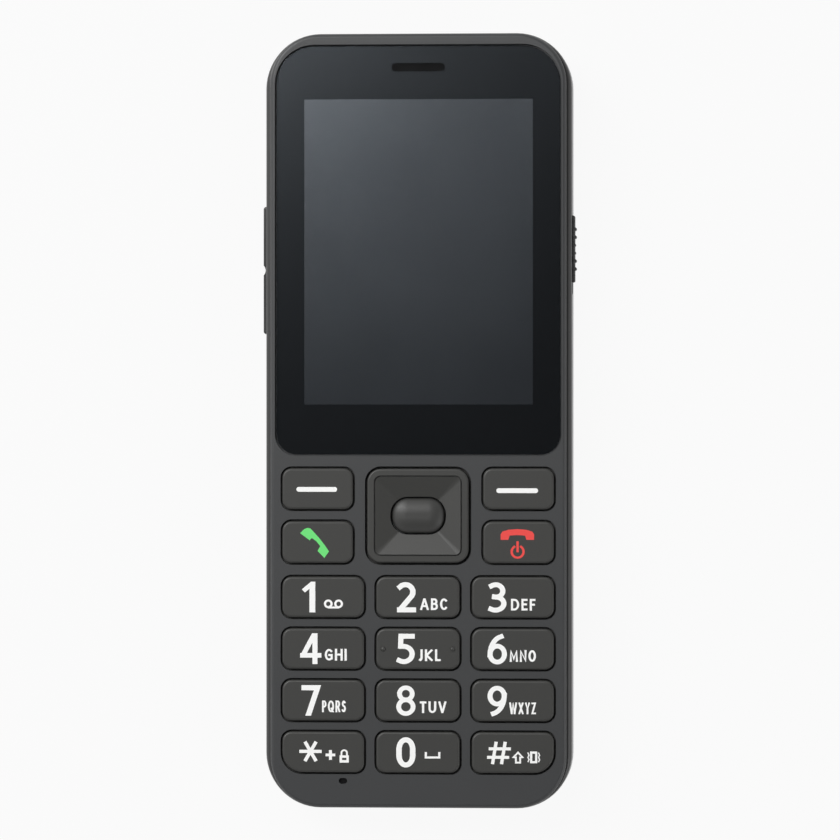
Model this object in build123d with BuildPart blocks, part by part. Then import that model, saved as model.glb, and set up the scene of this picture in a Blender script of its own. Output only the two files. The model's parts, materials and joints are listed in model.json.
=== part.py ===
from build123d import *
from dataclasses import dataclass
from math import sqrt
import os

# A bar phone with large keys, in millimetres. The origin is the centre of the
# flat back. +X is to the right seen from the front, +Y runs towards the earpiece
# and +Z comes out of the screen.

# ------------------------------------------------------------- driving sizes
# Screen and lens
ACTIVE_WIDTH = 43.2
ACTIVE_HEIGHT = 57.6
LENS_SIDE_BORDER = 5.2
LENS_TOP_BORDER = 10.0
LENS_BOTTOM_BORDER = 9.4
LENS_TOP_CORNER = 7.2
LENS_BOTTOM_CORNER = 3.8
LENS_GAP = 0.3
LENS_EDGE_BREAK = 0.12
WINDOW_MARGIN = 1.0
TAPE_MARGIN = 0.4
PANEL_BORDER = 1.5
PANEL_FOOT = 5.0
PANEL_THICK = 1.3
PANEL_CLEARANCE = 0.1
TRAY_RIM = 0.9
FLEX_WIDTH = 12.0
FLEX_THICK = 0.15
FLEX_BEND = 0.3
CONNECTOR_WIDTH = 2.2
CONNECTOR_HEIGHT = 0.7

# Rims and shoulders around the face
SIDE_RIM = 0.85
TOP_RIM = 2.0
SIDE_SHOULDER = 1.0
END_SHOULDER = 0.15
SHOULDER_DROP = 1.1
SHOULDER_STEPS = [0, 0.45, 0.8, 1.0]
RIM_HEIGHT = 1.5
RIM_ROUND = 0.7
PARTING_CHAMFER = 0.18
CORNER = 10.4
BACK_RADIUS = 5.0
COVER_LIP = 0.5
PARTING_GAP = 0.05

# Keypad, given as the openings in the faceplate
KEY_SIDE_MARGIN = 1.95
KEY_COLUMN_BAR = 1.55
MIDDLE_KEY_EXTRA = 0.3
KEY_HEIGHT = 8.4
KEY_ROW_BAR = 1.34
KEY_CORNER = 2.1
KEY_BIG_CORNER = 4.15
SOFT_HEIGHT = 8.45
CALL_HEIGHT = 8.6
FUNCTION_ROW_BAR = 1.53
FUNCTION_COLUMN_BAR = 1.9
NAV_WIDTH = 20.05
NAV_CORNER = 3.0
LENS_TO_KEYS = 2.27
FUNCTION_TO_DIGITS = 1.85
BOTTOM_MARGIN = 6.3
KEY_GAP = 0.35
KEY_PROUD = 0.45
KEY_BEVEL = 0.3
KEY_BEVEL_RUN = 0.45
KEY_PLAY = 0.05
SEAT_PLAY = 0.05
KEY_FLANGE = 0.6
KEY_LIP = 0.4
NIB_RADIUS = 0.35
NIB_OFFSET = 6.6

# Navigation key: a ring with a sunk four-sided dish round the OK key
NAV_GAP = 0.45
NAV_RING = 1.25
NAV_GROOVE = 0.22
NAV_GROOVE_DEPTH = 0.3
NAV_DISH_RUN = 4.5
NAV_DISH_DEPTH = 1.2
NAV_BEVEL = 0.25
NAV_TILT_ROOM = 0.45
NAV_FLANGE = 0.5
PIVOT_WIDTH = 1.6
PIVOT_THICK = 0.45
PIVOT_LENGTH = 3.8
PIVOT_GAP = 0.2
OK_WIDTH = 10.1
OK_HEIGHT = 6.75
OK_CORNER = 2.9
OK_GAP = 0.28
OK_CROWN = 1.2
OK_DROP = 0.15
OK_FLANGE = 0.3
OK_FLANGE_GAP = 0.25
OK_LIP = 0.5

# Stack from the back to the face
COVER_WALL = 1.1
COVER_CLEARANCE = 0.3
BATTERY_CLEARANCE = 0.15
BATTERY_THICK = 4.8
WELL_FLOOR = 0.8
BOARD_SPACE = 0.8
BOARD_THICK = 0.8
DISPLAY_SPACE = 0.2
DISPLAY_THICK = 2.3
GASKET_THICK = 0.4
LEDGE_THICK = 0.9
LEDGE_LIP = 0.6
TAPE_THICK = 0.1
LENS_THICK = 0.95
LENS_RECESS = 0.15
FACEPLATE = 1.2

# Walls of the frame and the front housing
FRAME_WALL = 1.3
TRAY_WALL = 1.2
FRAME_STEP = 1.0
SKIRT_WALL = 1.0
SKIRT_CLEARANCE = 0.1
SKIRT_DEPTH = 1.2
HOOK_WIDTH = 5.0
HOOK_THICK = 0.5
HOOK_RISE = 1.3
HOOK_PITCH = 45.0
HOOK_CLEARANCE = 0.15

# Screws and bosses
SCREW_RADIUS = 0.7
SCREW_SHANK = 5.0
SCREW_HEAD_RADIUS = 1.3
SCREW_HEAD = 0.7
SCREW_CLEARANCE = 0.1
SCREW_BITE = 0.05
SCREW_SEAT = 0.8
BOSS_RADIUS = 1.7
BOSS_CLEARANCE = 0.15
COLLAR_WALL = 0.9
SCREW_TOP_INSET = 6.0
SCREW_BOTTOM_INSET = 3.8
SCREW_MIDDLE_RISE = 1.0

# Main board and keypad mat
BOARD_EDGE_GAP = 0.5
BRACKET_CLEARANCE = 0.35
MAT_WEB = 0.3
MAT_PAD = 0.95
MAT_PAD_INSET = 1.2
MAT_MARGIN = 0.2
MAT_RIM = 1.0
NUB_RADIUS = 1.0
DOME_SHEET = 0.1
DOME_RADIUS = 2.5
DOME_SIDES = 8
DOME_CROWN = 1.1
DOME_HEIGHT = 0.3
DOME_GAP = 0.05
LED_LENGTH = 1.6
LED_WIDTH = 0.8
LED_HEIGHT = 0.6
LED_ROOM = 0.6
CHIP_THICK = 0.6
CHIPS = [(-15.0, 4.0, 6.0), (16.5, 3.0, 7.0)]

# Battery and its well
BATTERY_WIDTH = 37.3
BATTERY_LENGTH = 52.0
BATTERY_ROUND = 1.2
BATTERY_RISE = 61.11
WELL_CLEARANCE = 0.4
WELL_WALL = 1.0
CONTACT_GAP = 0.2
CONTACT_BLADE = 1.6
CONTACT_BLADE_HEIGHT = 2.0
CONTACT_WIDTH = 10.0
CONTACT_DEPTH = 4.0
CONTACT_PITCH = 3.0
SIM_WIDTH = 16.0
SIM_LENGTH = 15.0
SIM_THICK = 1.4
SIM_RAIL = 0.8
SIM_X = -8.0
SIM_DROP = 10.0

# Side keys
SIDE_KEY_HEIGHT = 2.6
SIDE_KEY_RISE = 2.0
SIDE_KEY_CLEARANCE = 0.15
SIDE_KEY_ROUND = 0.3
SIDE_LIP = 0.4
ROCKER_LENGTH = 24.1
ROCKER_FROM_TOP = 44.65
ROCKER_PROUD = 0.6
ROCKER_CORNER = 0.5
ROCKER_DIP_DEPTH = 0.4
ROCKER_DIP_RADIUS = 1.3
ROCKER_FLANGE = 0.45
ROCKER_TILT_ROOM = 0.35
ROCKER_PIVOT_RADIUS = 0.3
ROCKER_PIVOT_GAP = 0.02
PLUNGER = 0.4
PLUNGER_WIDTH = 1.2
PLUNGER_OFFSET = 8.0
SWITCH_GAP = 0.2
SWITCH_THICK = 0.5
SWITCH_LENGTH = 3.0
SWITCH_HEIGHT = 1.8
SWITCH_BOARD = 0.5
BRACKET_THICK = 0.5
BRACKET_HEIGHT = 4.2
KNOB_LENGTH = 12.6
KNOB_FROM_TOP = 40.7
KNOB_PROUD = 0.5
KNOB_TRAVEL = 2.0
KNOB_FLANGE = 0.5
KNOB_PLAY = 0.1
RIDGE_RADIUS = 0.35
RIDGE_RISE = 0.3
RIDGE_PITCH = 1.5
RIDGE_COUNT = 6
ACTUATOR_LENGTH = 1.2
ACTUATOR_HEIGHT = 1.0
FINGER_WALL = 0.8
SLIDE_SWITCH_LENGTH = 8.0
SLIDE_SWITCH_THICK = 0.85
SLIDE_SWITCH_BACK = 0.2

# Ports, holes and inner parts
JACK_RADIUS = 1.75
JACK_DEPTH = 12.0
JACK_BODY_WIDTH = 6.0
JACK_BODY_HEIGHT = 4.6
JACK_END_WALL = 0.6
JACK_NOSE_RADIUS = 2.15
USB_WIDTH = 8.94
USB_HEIGHT = 3.16
USB_SHELL = 0.3
USB_LENGTH = 7.3
USB_TONGUE = 0.7
USB_TONGUE_SET = 0.8
USB_BACK = 0.6
PORT_CLEARANCE = 0.12
PORT_WALL = 0.25
PORT_SET_BACK = 0.1
EARPIECE_SLOT = 10.1
EARPIECE_SLOT_HEIGHT = 1.6
EARPIECE_FROM_TOP = 4.0
EARPIECE_LENGTH = 15.0
EARPIECE_WIDTH = 6.0
EARPIECE_THICK = 2.3
EARPIECE_SOUND = 0.5
MESH_MARGIN = 0.7
MIC_X = -14.2
MIC_DROP = 1.25
MIC_SLOT = 1.6
MIC_SLOT_HEIGHT = 1.1
MIC_HEIGHT = 1.0
MIC_BORE = 0.5
BOOT_HALF = 1.3
BOOT_GAP = 0.2
BOOT_REACH = 1.4
CAMERA_FROM_TOP = 19.0
CAMERA_RADIUS = 3.0
CAMERA_BODY = 8.5
CAMERA_BODY_DEPTH = 4.4
CAMERA_CLEARANCE = 0.3
CAMERA_RECESS = 0.5
WINDOW_RADIUS = 4.5
WINDOW_LEDGE = 1.0
WINDOW_THICK = 0.6
WINDOW_RECESS = 0.2
WINDOW_CLEARANCE = 0.08
TORCH_RADIUS = 1.5
TORCH_OFFSET = 9.5
TORCH_COLLAR = 0.9
TORCH_LED = 0.8
SPEAKER_WIDTH = 16.0
SPEAKER_LENGTH = 11.0
SPEAKER_THICK = 3.0
SPEAKER_SEAL = 0.3
SPEAKER_CONE = 0.6
SPEAKER_BORDER = 1.5
SPEAKER_GAP = 5.0
SPEAKER_SLOTS = 5
SLOT_PITCH = 2.0
SLOT_LENGTH = 12.0
SLOT_WIDTH = 1.0
NOTCH_X = 17.0
NOTCH_WIDTH = 9.0
NOTCH_HEIGHT = 0.8
MOTOR_RADIUS = 2.0
MOTOR_LENGTH = 8.0
MOTOR_SHAFT = 0.4
MOTOR_SHAFT_CLEARANCE = 0.05
MOTOR_SHAFT_DEPTH = 3.0
MOTOR_GAP = 5.0
WEIGHT_RADIUS = 1.8
WEIGHT_LENGTH = 3.2
WEIGHT_GAP = 0.5
CRADLE_WALL = 0.8
ANTENNA_WIDTH = 22.0
ANTENNA_LENGTH = 5.4
ANTENNA_FROM_TOP = 8.0
ANTENNA_PLATE = 0.15
ANTENNA_GAP = 0.25
SHIELD_HEIGHT = 1.5
SHIELD_ROUND = 0.6
SHIELD_RISE = 4.0
SHIELDS = [(-12.5, 20.0, 17.0), (12.0, 18.0, 19.0)]

# ------------------------------------------------------------- worked-out sizes
lens_width = ACTIVE_WIDTH + 2 * LENS_SIDE_BORDER
lens_height = LENS_TOP_BORDER + ACTIVE_HEIGHT + LENS_BOTTOM_BORDER
face_width = lens_width + 2 * (LENS_GAP + SIDE_RIM)
width = face_width + 2 * SIDE_SHOULDER
nav_height = SOFT_HEIGHT + FUNCTION_ROW_BAR + CALL_HEIGHT
digits_height = 4 * KEY_HEIGHT + 3 * KEY_ROW_BAR
keypad_height = nav_height + FUNCTION_TO_DIGITS + digits_height
face_length = TOP_RIM + LENS_GAP + lens_height + LENS_TO_KEYS + keypad_height + BOTTOM_MARGIN
length = face_length + 2 * END_SHOULDER

# Places along the body, from the earpiece end down
lens_top = face_length / 2 - TOP_RIM - LENS_GAP
lens_y = lens_top - lens_height / 2
lens_bottom = lens_top - lens_height
active_top = lens_top - LENS_TOP_BORDER
active_bottom = active_top - ACTIVE_HEIGHT
keys_top = lens_bottom - LENS_TO_KEYS
soft_y = keys_top - SOFT_HEIGHT / 2
nav_y = keys_top - nav_height / 2
call_y = keys_top - nav_height + CALL_HEIGHT / 2
digits_top = keys_top - nav_height - FUNCTION_TO_DIGITS
row_pitch = KEY_HEIGHT + KEY_ROW_BAR
row_y = [digits_top - KEY_HEIGHT / 2 - row * row_pitch for row in range(4)]
keys_bottom = keys_top - keypad_height

# Places across the body
keypad_width = face_width - 2 * KEY_SIDE_MARGIN
outer_key_width = (keypad_width - 2 * KEY_COLUMN_BAR - MIDDLE_KEY_EXTRA) / 3
middle_key_width = outer_key_width + MIDDLE_KEY_EXTRA
column_x = (keypad_width - outer_key_width) / 2
function_width = (keypad_width - NAV_WIDTH) / 2 - FUNCTION_COLUMN_BAR
function_x = (keypad_width - function_width) / 2

# Levels, from the back up
tray_z = COVER_WALL + COVER_CLEARANCE
tray_floor_z = tray_z + TRAY_WALL
battery_z = COVER_WALL + BATTERY_CLEARANCE
well_z = battery_z + BATTERY_THICK + BATTERY_CLEARANCE
floor_z = well_z + WELL_FLOOR
board_z = floor_z + BOARD_SPACE
board_top = board_z + BOARD_THICK
display_z = board_top + DISPLAY_SPACE
gasket_z = display_z + DISPLAY_THICK
ledge_z = gasket_z + GASKET_THICK
tape_z = ledge_z + LEDGE_THICK
lens_z = tape_z + TAPE_THICK
face_z = lens_z + LENS_THICK + LENS_RECESS
plate_z = face_z - FACEPLATE
parting_z = face_z - RIM_HEIGHT
shoulder_z = parting_z - SHOULDER_DROP
split_z = BACK_RADIUS + COVER_LIP
step_z = split_z + FRAME_STEP
skirt_z = parting_z - SKIRT_DEPTH
key_top = face_z + KEY_PROUD
key_bottom = plate_z - KEY_PLAY - KEY_FLANGE
nav_bottom = plate_z - NAV_TILT_ROOM - NAV_FLANGE
ok_flange_top = nav_bottom - OK_FLANGE_GAP
ok_bottom = ok_flange_top - OK_FLANGE
web_top = key_bottom - MAT_PAD
web_z = web_top - MAT_WEB
dome_z = board_top + DOME_SHEET
pivot_z = nav_bottom - KEY_PLAY - PIVOT_THICK
flex_z = gasket_z - PANEL_THICK
connector_top = board_top + CONNECTOR_HEIGHT
sound_z = ledge_z - EARPIECE_SOUND
earpiece_z = ledge_z - EARPIECE_THICK
torch_z = board_z - TORCH_LED
antenna_z = board_z - ANTENNA_GAP - ANTENNA_PLATE
side_key_z = floor_z + SIDE_KEY_RISE

# Insets of the nested outlines from the body's own outline
tray_inset = COVER_WALL + COVER_CLEARANCE
hollow_inset = tray_inset + TRAY_WALL
skirt_inset = FRAME_WALL + SKIRT_CLEARANCE

# Places of the side keys, from the frame's inner wall inwards
frame_inner_x = width / 2 - FRAME_WALL
rocker_y = length / 2 - ROCKER_FROM_TOP
flange_x = frame_inner_x - ROCKER_TILT_ROOM - ROCKER_FLANGE
switch_x = flange_x - PLUNGER - SWITCH_GAP
switch_board_x = switch_x - SWITCH_THICK
bracket_x = switch_board_x - SWITCH_BOARD
bracket_inner_x = bracket_x - BRACKET_THICK
board_neck_x = bracket_inner_x - BRACKET_CLEARANCE
board_inset = FRAME_WALL + BOARD_EDGE_GAP
rocker_pivot_x = switch_board_x + ROCKER_PIVOT_GAP + ROCKER_PIVOT_RADIUS
knob_y = length / 2 - KNOB_FROM_TOP
knob_flange_x = frame_inner_x - KNOB_PLAY - KNOB_FLANGE
knob_window = (
    knob_y - KNOB_LENGTH / 2 - KNOB_TRAVEL - SIDE_KEY_CLEARANCE,
    knob_y + KNOB_LENGTH / 2 + SIDE_KEY_CLEARANCE,
)
slide_switch_y = knob_y - KNOB_TRAVEL / 2
side_key_span = (side_key_z - SIDE_KEY_HEIGHT / 2, side_key_z + SIDE_KEY_HEIGHT / 2)
side_flange_reach = SIDE_KEY_CLEARANCE + SIDE_LIP
side_flange_z = (side_key_span[0] - side_flange_reach, side_key_span[1] + side_flange_reach)
actuator_span = (side_key_z - ACTUATOR_HEIGHT / 2, side_key_z + ACTUATOR_HEIGHT / 2)
bracket_span = (step_z, step_z + BRACKET_HEIGHT)
rocker_outer_x = width / 2 + ROCKER_PROUD
knob_outer_x = width / 2 + KNOB_PROUD
slide_slot_x = bracket_x + SLIDE_SWITCH_BACK
finger_x = bracket_x + SLIDE_SWITCH_THICK + KNOB_PLAY
finger_reach = ACTUATOR_LENGTH / 2 + SEAT_PLAY

# Places of the inner parts
well_half_width = BATTERY_WIDTH / 2 + WELL_CLEARANCE
screw_x = well_half_width + WELL_WALL + SCREW_HEAD_RADIUS + SCREW_CLEARANCE
screw_top_y = length / 2 - SCREW_TOP_INSET
screw_middle_y = lens_bottom + SCREW_MIDDLE_RISE
screw_bottom_y = -length / 2 + SCREW_BOTTOM_INSET
screw_places = [
    (side * screw_x, y) for side in (-1, 1) for y in (screw_top_y, screw_middle_y, screw_bottom_y)
]
screw_seat_z = floor_z - SCREW_SEAT
pillar_radius = BOSS_RADIUS + BOSS_CLEARANCE + COLLAR_WALL
hook_inner_x = width / 2 - COVER_WALL
hook_places = [-HOOK_PITCH, 0, HOOK_PITCH]
hook_top = split_z + HOOK_RISE
battery_y = -length / 2 + BATTERY_RISE
battery_top = battery_y + BATTERY_LENGTH / 2
battery_bottom = battery_y - BATTERY_LENGTH / 2
well_top = battery_top + WELL_CLEARANCE
shield_y = well_top + CONTACT_GAP + CONTACT_DEPTH + SHIELD_RISE
sim_y = battery_y - SIM_DROP
camera_y = length / 2 - CAMERA_FROM_TOP
window_seat_z = WINDOW_RECESS + WINDOW_THICK
torch_hole = TORCH_RADIUS + SEAT_PLAY
collar_top = tray_floor_z + 2 * TORCH_COLLAR
speaker_y = battery_bottom - WELL_CLEARANCE - WELL_WALL - SPEAKER_GAP - SPEAKER_LENGTH / 2
speaker_z = tray_floor_z + SPEAKER_SEAL
motor_x = -SPEAKER_WIDTH / 2 - MOTOR_GAP - MOTOR_LENGTH / 2
motor_z = tray_floor_z + MOTOR_RADIUS + SEAT_PLAY
cradle_half = MOTOR_RADIUS + SEAT_PLAY
antenna_y = length / 2 - ANTENNA_FROM_TOP
earpiece_y = face_length / 2 - TOP_RIM - LENS_GAP - EARPIECE_FROM_TOP
mic_y = keys_bottom - MIC_DROP
boot_y = (mic_y - BOOT_REACH, keys_bottom - KEY_LIP - BOOT_GAP)
jack_x = column_x / 2
jack_z = split_z + PORT_WALL + PORT_CLEARANCE + JACK_NOSE_RADIUS
port_y = -length / 2 + PORT_SET_BACK
jack_end_y = port_y + JACK_DEPTH + JACK_END_WALL
usb_z = (board_z + board_top) / 2
usb_end_y = port_y + USB_LENGTH
jack_notch = JACK_BODY_WIDTH + 2 * PORT_CLEARANCE
usb_notch = USB_WIDTH + 2 * PORT_CLEARANCE
neck_y = rocker_y - ROCKER_LENGTH / 2 - 2 * SIDE_LIP
mat_width = keypad_width + 2 * MAT_MARGIN
mat_span = (keys_bottom - MAT_MARGIN, keys_top + MAT_MARGIN)
ledge_bottom = lens_bottom - LENS_GAP - LEDGE_LIP
groove_inset = NAV_GAP + NAV_RING
dish_inset = groove_inset + NAV_GROOVE
pivot_start = OK_HEIGHT / 2 + OK_GAP + OK_LIP + PIVOT_GAP
nav_dome_x = NAV_WIDTH / 2 - DOME_RADIUS
nav_dome_y = nav_height / 2 + MAT_MARGIN - MAT_RIM - DOME_RADIUS - DOME_GAP

# The display's outer limits: the glass panel and the tray that holds it
panel_x = ACTIVE_WIDTH / 2 + PANEL_BORDER
panel_span = (active_bottom - PANEL_FOOT, active_top + PANEL_BORDER)
display_x = panel_x + TRAY_RIM
display_span = (panel_span[0] - TRAY_RIM, panel_span[1] + TRAY_RIM)
connector_y = display_span[0] - CONNECTOR_WIDTH

os.makedirs("parts", exist_ok=True)


# ------------------------------------------------------------- helpers
@dataclass
class Opening:
    """One key's opening in the faceplate; big_side is the side of a large lower corner."""

    x: float
    y: float
    width: float
    height: float
    corner: float = KEY_CORNER
    big_side: int = 0


def write(builder, name):
    """Label a finished piece and write it to its own STEP file."""
    builder.part.label = name
    export_step(builder.part, f"parts/{name}.step")


def slab(x, y, z, mode=Mode.ADD):
    """Add or cut a rectangular block, given its two limits on each axis."""
    spans = [sorted(span) for span in (x, y, z)]
    with Locations(Vector(*((low + high) / 2 for low, high in spans))):
        Box(*(high - low for low, high in spans), mode=mode)


def post(x, y, radius, low, high, mode=Mode.ADD):
    """Add or cut an upright round post between two levels."""
    with Locations((x, y, low)):
        Cylinder(radius, high - low, align=(Align.CENTER, Align.CENTER, Align.MIN), mode=mode)


def middle(centre, size):
    """The two limits of a length laid evenly about its centre."""
    return (centre - size / 2, centre + size / 2)


def body_outline(z, inset, end_inset=None):
    """The body's rounded outline at level z, drawn in by an inset."""
    end_inset = inset if end_inset is None else end_inset
    with BuildSketch(Plane.XY.offset(z)) as outline:
        RectangleRounded(width - 2 * inset, length - 2 * end_inset, CORNER - inset)
    return outline.sketch


def shoulder_section(share):
    """The frame's outline on its rounded shoulder, a share of the way up, as a quarter round."""
    inset = 1 - sqrt(1 - share**2)
    z = shoulder_z + share * SHOULDER_DROP
    return body_outline(z, inset * SIDE_SHOULDER, inset * END_SHOULDER)


def lens_outline(z, margin):
    """The lens outline at level z, grown by a margin. Its top corners are the rounder ones."""
    with BuildSketch(Plane.XY.offset(z)) as outline:
        with Locations((0, lens_y)):
            Rectangle(lens_width + 2 * margin, lens_height + 2 * margin)
        fillet(outline.vertices().group_by(Axis.Y)[-1], LENS_TOP_CORNER + margin)
        fillet(outline.vertices().group_by(Axis.Y)[0], LENS_BOTTOM_CORNER + margin)
    return outline.sketch


def key_outline(z, key, margin):
    """One key's outline at level z, grown by a margin from its opening."""
    with BuildSketch(Plane.XY.offset(z)) as outline:
        with Locations((key.x, key.y)):
            Rectangle(key.width + 2 * margin, key.height + 2 * margin)
        if key.big_side:
            lower = outline.vertices().group_by(Axis.Y)[0].sort_by(Axis.X)
            fillet(lower[0 if key.big_side < 0 else -1], KEY_BIG_CORNER + margin)
            square = outline.vertices().group_by(Axis.Y)[-1].sort_by(Axis.X)
            lower = outline.vertices().group_by(Axis.Y)[0].sort_by(Axis.X)
            fillet([*square, lower[-1 if key.big_side < 0 else 0]], key.corner + margin)
        else:
            fillet(outline.vertices(), key.corner + margin)
    return outline.sketch


def window_outline(z, margin):
    """The screen's active area at level z, grown by a margin."""
    with BuildSketch(Plane.XY.offset(z)) as outline:
        with Locations((0, (active_top + active_bottom) / 2)):
            Rectangle(ACTIVE_WIDTH + 2 * margin, ACTIVE_HEIGHT + 2 * margin)
    return outline.sketch


def earpiece_slot(z, margin):
    """The earpiece's slot at level z, grown by a margin."""
    with BuildSketch(Plane.XY.offset(z)) as outline:
        with Locations((0, earpiece_y)):
            SlotOverall(EARPIECE_SLOT + 2 * margin, EARPIECE_SLOT_HEIGHT + 2 * margin)
    return outline.sketch


def dish_section(share):
    """The navigation key's dish a share of the way down its four sides."""
    inset = dish_inset + share * NAV_DISH_RUN
    with BuildSketch(Plane.XY.offset(key_top - share * NAV_DISH_DEPTH)) as outline:
        with Locations((0, nav_y)):
            Rectangle(NAV_WIDTH - 2 * inset, nav_height - 2 * inset)
    return outline.sketch


def mat_outline(z, margin):
    """The keypad mat at level z, grown by a margin."""
    with BuildSketch(Plane.XY.offset(z)) as outline:
        with Locations((0, sum(mat_span) / 2)):
            mat_height = mat_span[1] - mat_span[0]
            RectangleRounded(mat_width + 2 * margin, mat_height + 2 * margin, KEY_CORNER + margin)
    return outline.sketch


def port_notches(z):
    """The notches at level z that make room for the jack and the charging port."""
    with BuildSketch(Plane.XY.offset(z)) as outline:
        with Locations((jack_x, (port_y + jack_end_y) / 2)):
            Rectangle(jack_notch, jack_end_y - port_y + 2 * PORT_CLEARANCE)
        with Locations((0, (port_y + usb_end_y) / 2)):
            Rectangle(usb_notch, usb_end_y - port_y + 2 * PORT_CLEARANCE)
    return outline.sketch


# ------------------------------------------------------------- key places
keys = {
    "soft_key_left": Opening(-function_x, soft_y, function_width, SOFT_HEIGHT),
    "soft_key_right": Opening(function_x, soft_y, function_width, SOFT_HEIGHT),
    "call_key": Opening(-function_x, call_y, function_width, CALL_HEIGHT),
    "end_key": Opening(function_x, call_y, function_width, CALL_HEIGHT),
}
digit_rows = [["1", "2", "3"], ["4", "5", "6"], ["7", "8", "9"], ["star", "0", "hash"]]
for row, names in enumerate(digit_rows):
    for side, name in zip((-1, 0, 1), names):
        key_width = outer_key_width if side else middle_key_width
        big_side = side if row == len(digit_rows) - 1 else 0
        keys[f"key_{name}"] = Opening(
            side * column_x, row_y[row], key_width, KEY_HEIGHT, big_side=big_side
        )
nav_opening = Opening(0, nav_y, NAV_WIDTH, nav_height, NAV_CORNER)
ok_opening = Opening(0, nav_y, OK_WIDTH + 2 * OK_GAP, OK_HEIGHT + 2 * OK_GAP, OK_CORNER + OK_GAP)
nav_sides = [(0, nav_dome_y), (0, -nav_dome_y), (nav_dome_x, 0), (-nav_dome_x, 0)]
dome_places = [(key.x, key.y) for key in [*keys.values(), ok_opening]]
dome_places += [(x, nav_y + y) for x, y in nav_sides]


# ------------------------------------------------------------- back cover
with BuildPart() as back_cover:
    with BuildSketch():
        RectangleRounded(width, length, CORNER)
    extrude(amount=split_z - PARTING_GAP)
    fillet(back_cover.faces().sort_by(Axis.Z)[0].edges(), BACK_RADIUS)
    offset(amount=-COVER_WALL, openings=back_cover.faces().sort_by(Axis.Z)[-1])
    chamfer(back_cover.faces().sort_by(Axis.Z)[-1].outer_wire().edges(), PARTING_CHAMFER)
    # Snap hooks stand up from the long walls into pockets of the frame.
    for side in (-1, 1):
        for y in hook_places:
            hook_x = (side * hook_inner_x, side * (hook_inner_x + HOOK_THICK))
            slab(hook_x, middle(y, HOOK_WIDTH), (BACK_RADIUS, hook_top))
    # The camera's window seat, the torch's hole and the loudspeaker's slots
    post(0, camera_y, WINDOW_RADIUS, 0, window_seat_z, Mode.SUBTRACT)
    post(0, camera_y, WINDOW_RADIUS - WINDOW_LEDGE, 0, COVER_WALL, Mode.SUBTRACT)
    post(TORCH_OFFSET, camera_y, TORCH_RADIUS + COVER_CLEARANCE, 0, COVER_WALL, Mode.SUBTRACT)
    with BuildSketch():
        with Locations((0, speaker_y)):
            with GridLocations(0, SLOT_PITCH, 1, SPEAKER_SLOTS):
                SlotOverall(SLOT_LENGTH, SLOT_WIDTH)
    extrude(amount=COVER_WALL, mode=Mode.SUBTRACT)
    # A fingernail notch in the lower end's wall opens the cover.
    notch_y = (-length / 2, -length / 2 + COVER_WALL / 2)
    slab(middle(-NOTCH_X, NOTCH_WIDTH), notch_y, (split_z - NOTCH_HEIGHT, split_z), Mode.SUBTRACT)
write(back_cover, "back_cover")

with BuildPart() as camera_window:
    window_radius = WINDOW_RADIUS - WINDOW_CLEARANCE
    post(0, camera_y, window_radius, window_seat_z - WINDOW_THICK, window_seat_z)
    chamfer(camera_window.edges().group_by(Axis.Z)[0], LENS_EDGE_BREAK)
write(camera_window, "camera_window")

# ------------------------------------------------------------- middle frame
# The room inside the tray leaves the battery well, the screw pillars, the
# torch's collar and the motor's cradle standing.
with BuildPart() as tray_room:
    extrude(body_outline(tray_floor_z, hollow_inset), amount=step_z - tray_floor_z)
    fillet(tray_room.faces().sort_by(Axis.Z)[0].edges(), BACK_RADIUS - hollow_inset)
    slab(
        middle(0, 2 * (well_half_width + WELL_WALL)),
        middle(battery_y, BATTERY_LENGTH + 2 * (WELL_CLEARANCE + WELL_WALL)),
        (tray_z, step_z),
        Mode.SUBTRACT,
    )
    for x, y in screw_places:
        post(x, y, pillar_radius, tray_z, step_z, Mode.SUBTRACT)
    post(TORCH_OFFSET, camera_y, torch_hole + TORCH_COLLAR, tray_z, collar_top, Mode.SUBTRACT)
    for side in (-1, 1):
        cradle_y = [speaker_y + side * (cradle_half + wall) for wall in (0, CRADLE_WALL)]
        slab(middle(motor_x, MOTOR_LENGTH), cradle_y, (tray_z, motor_z), Mode.SUBTRACT)

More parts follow.
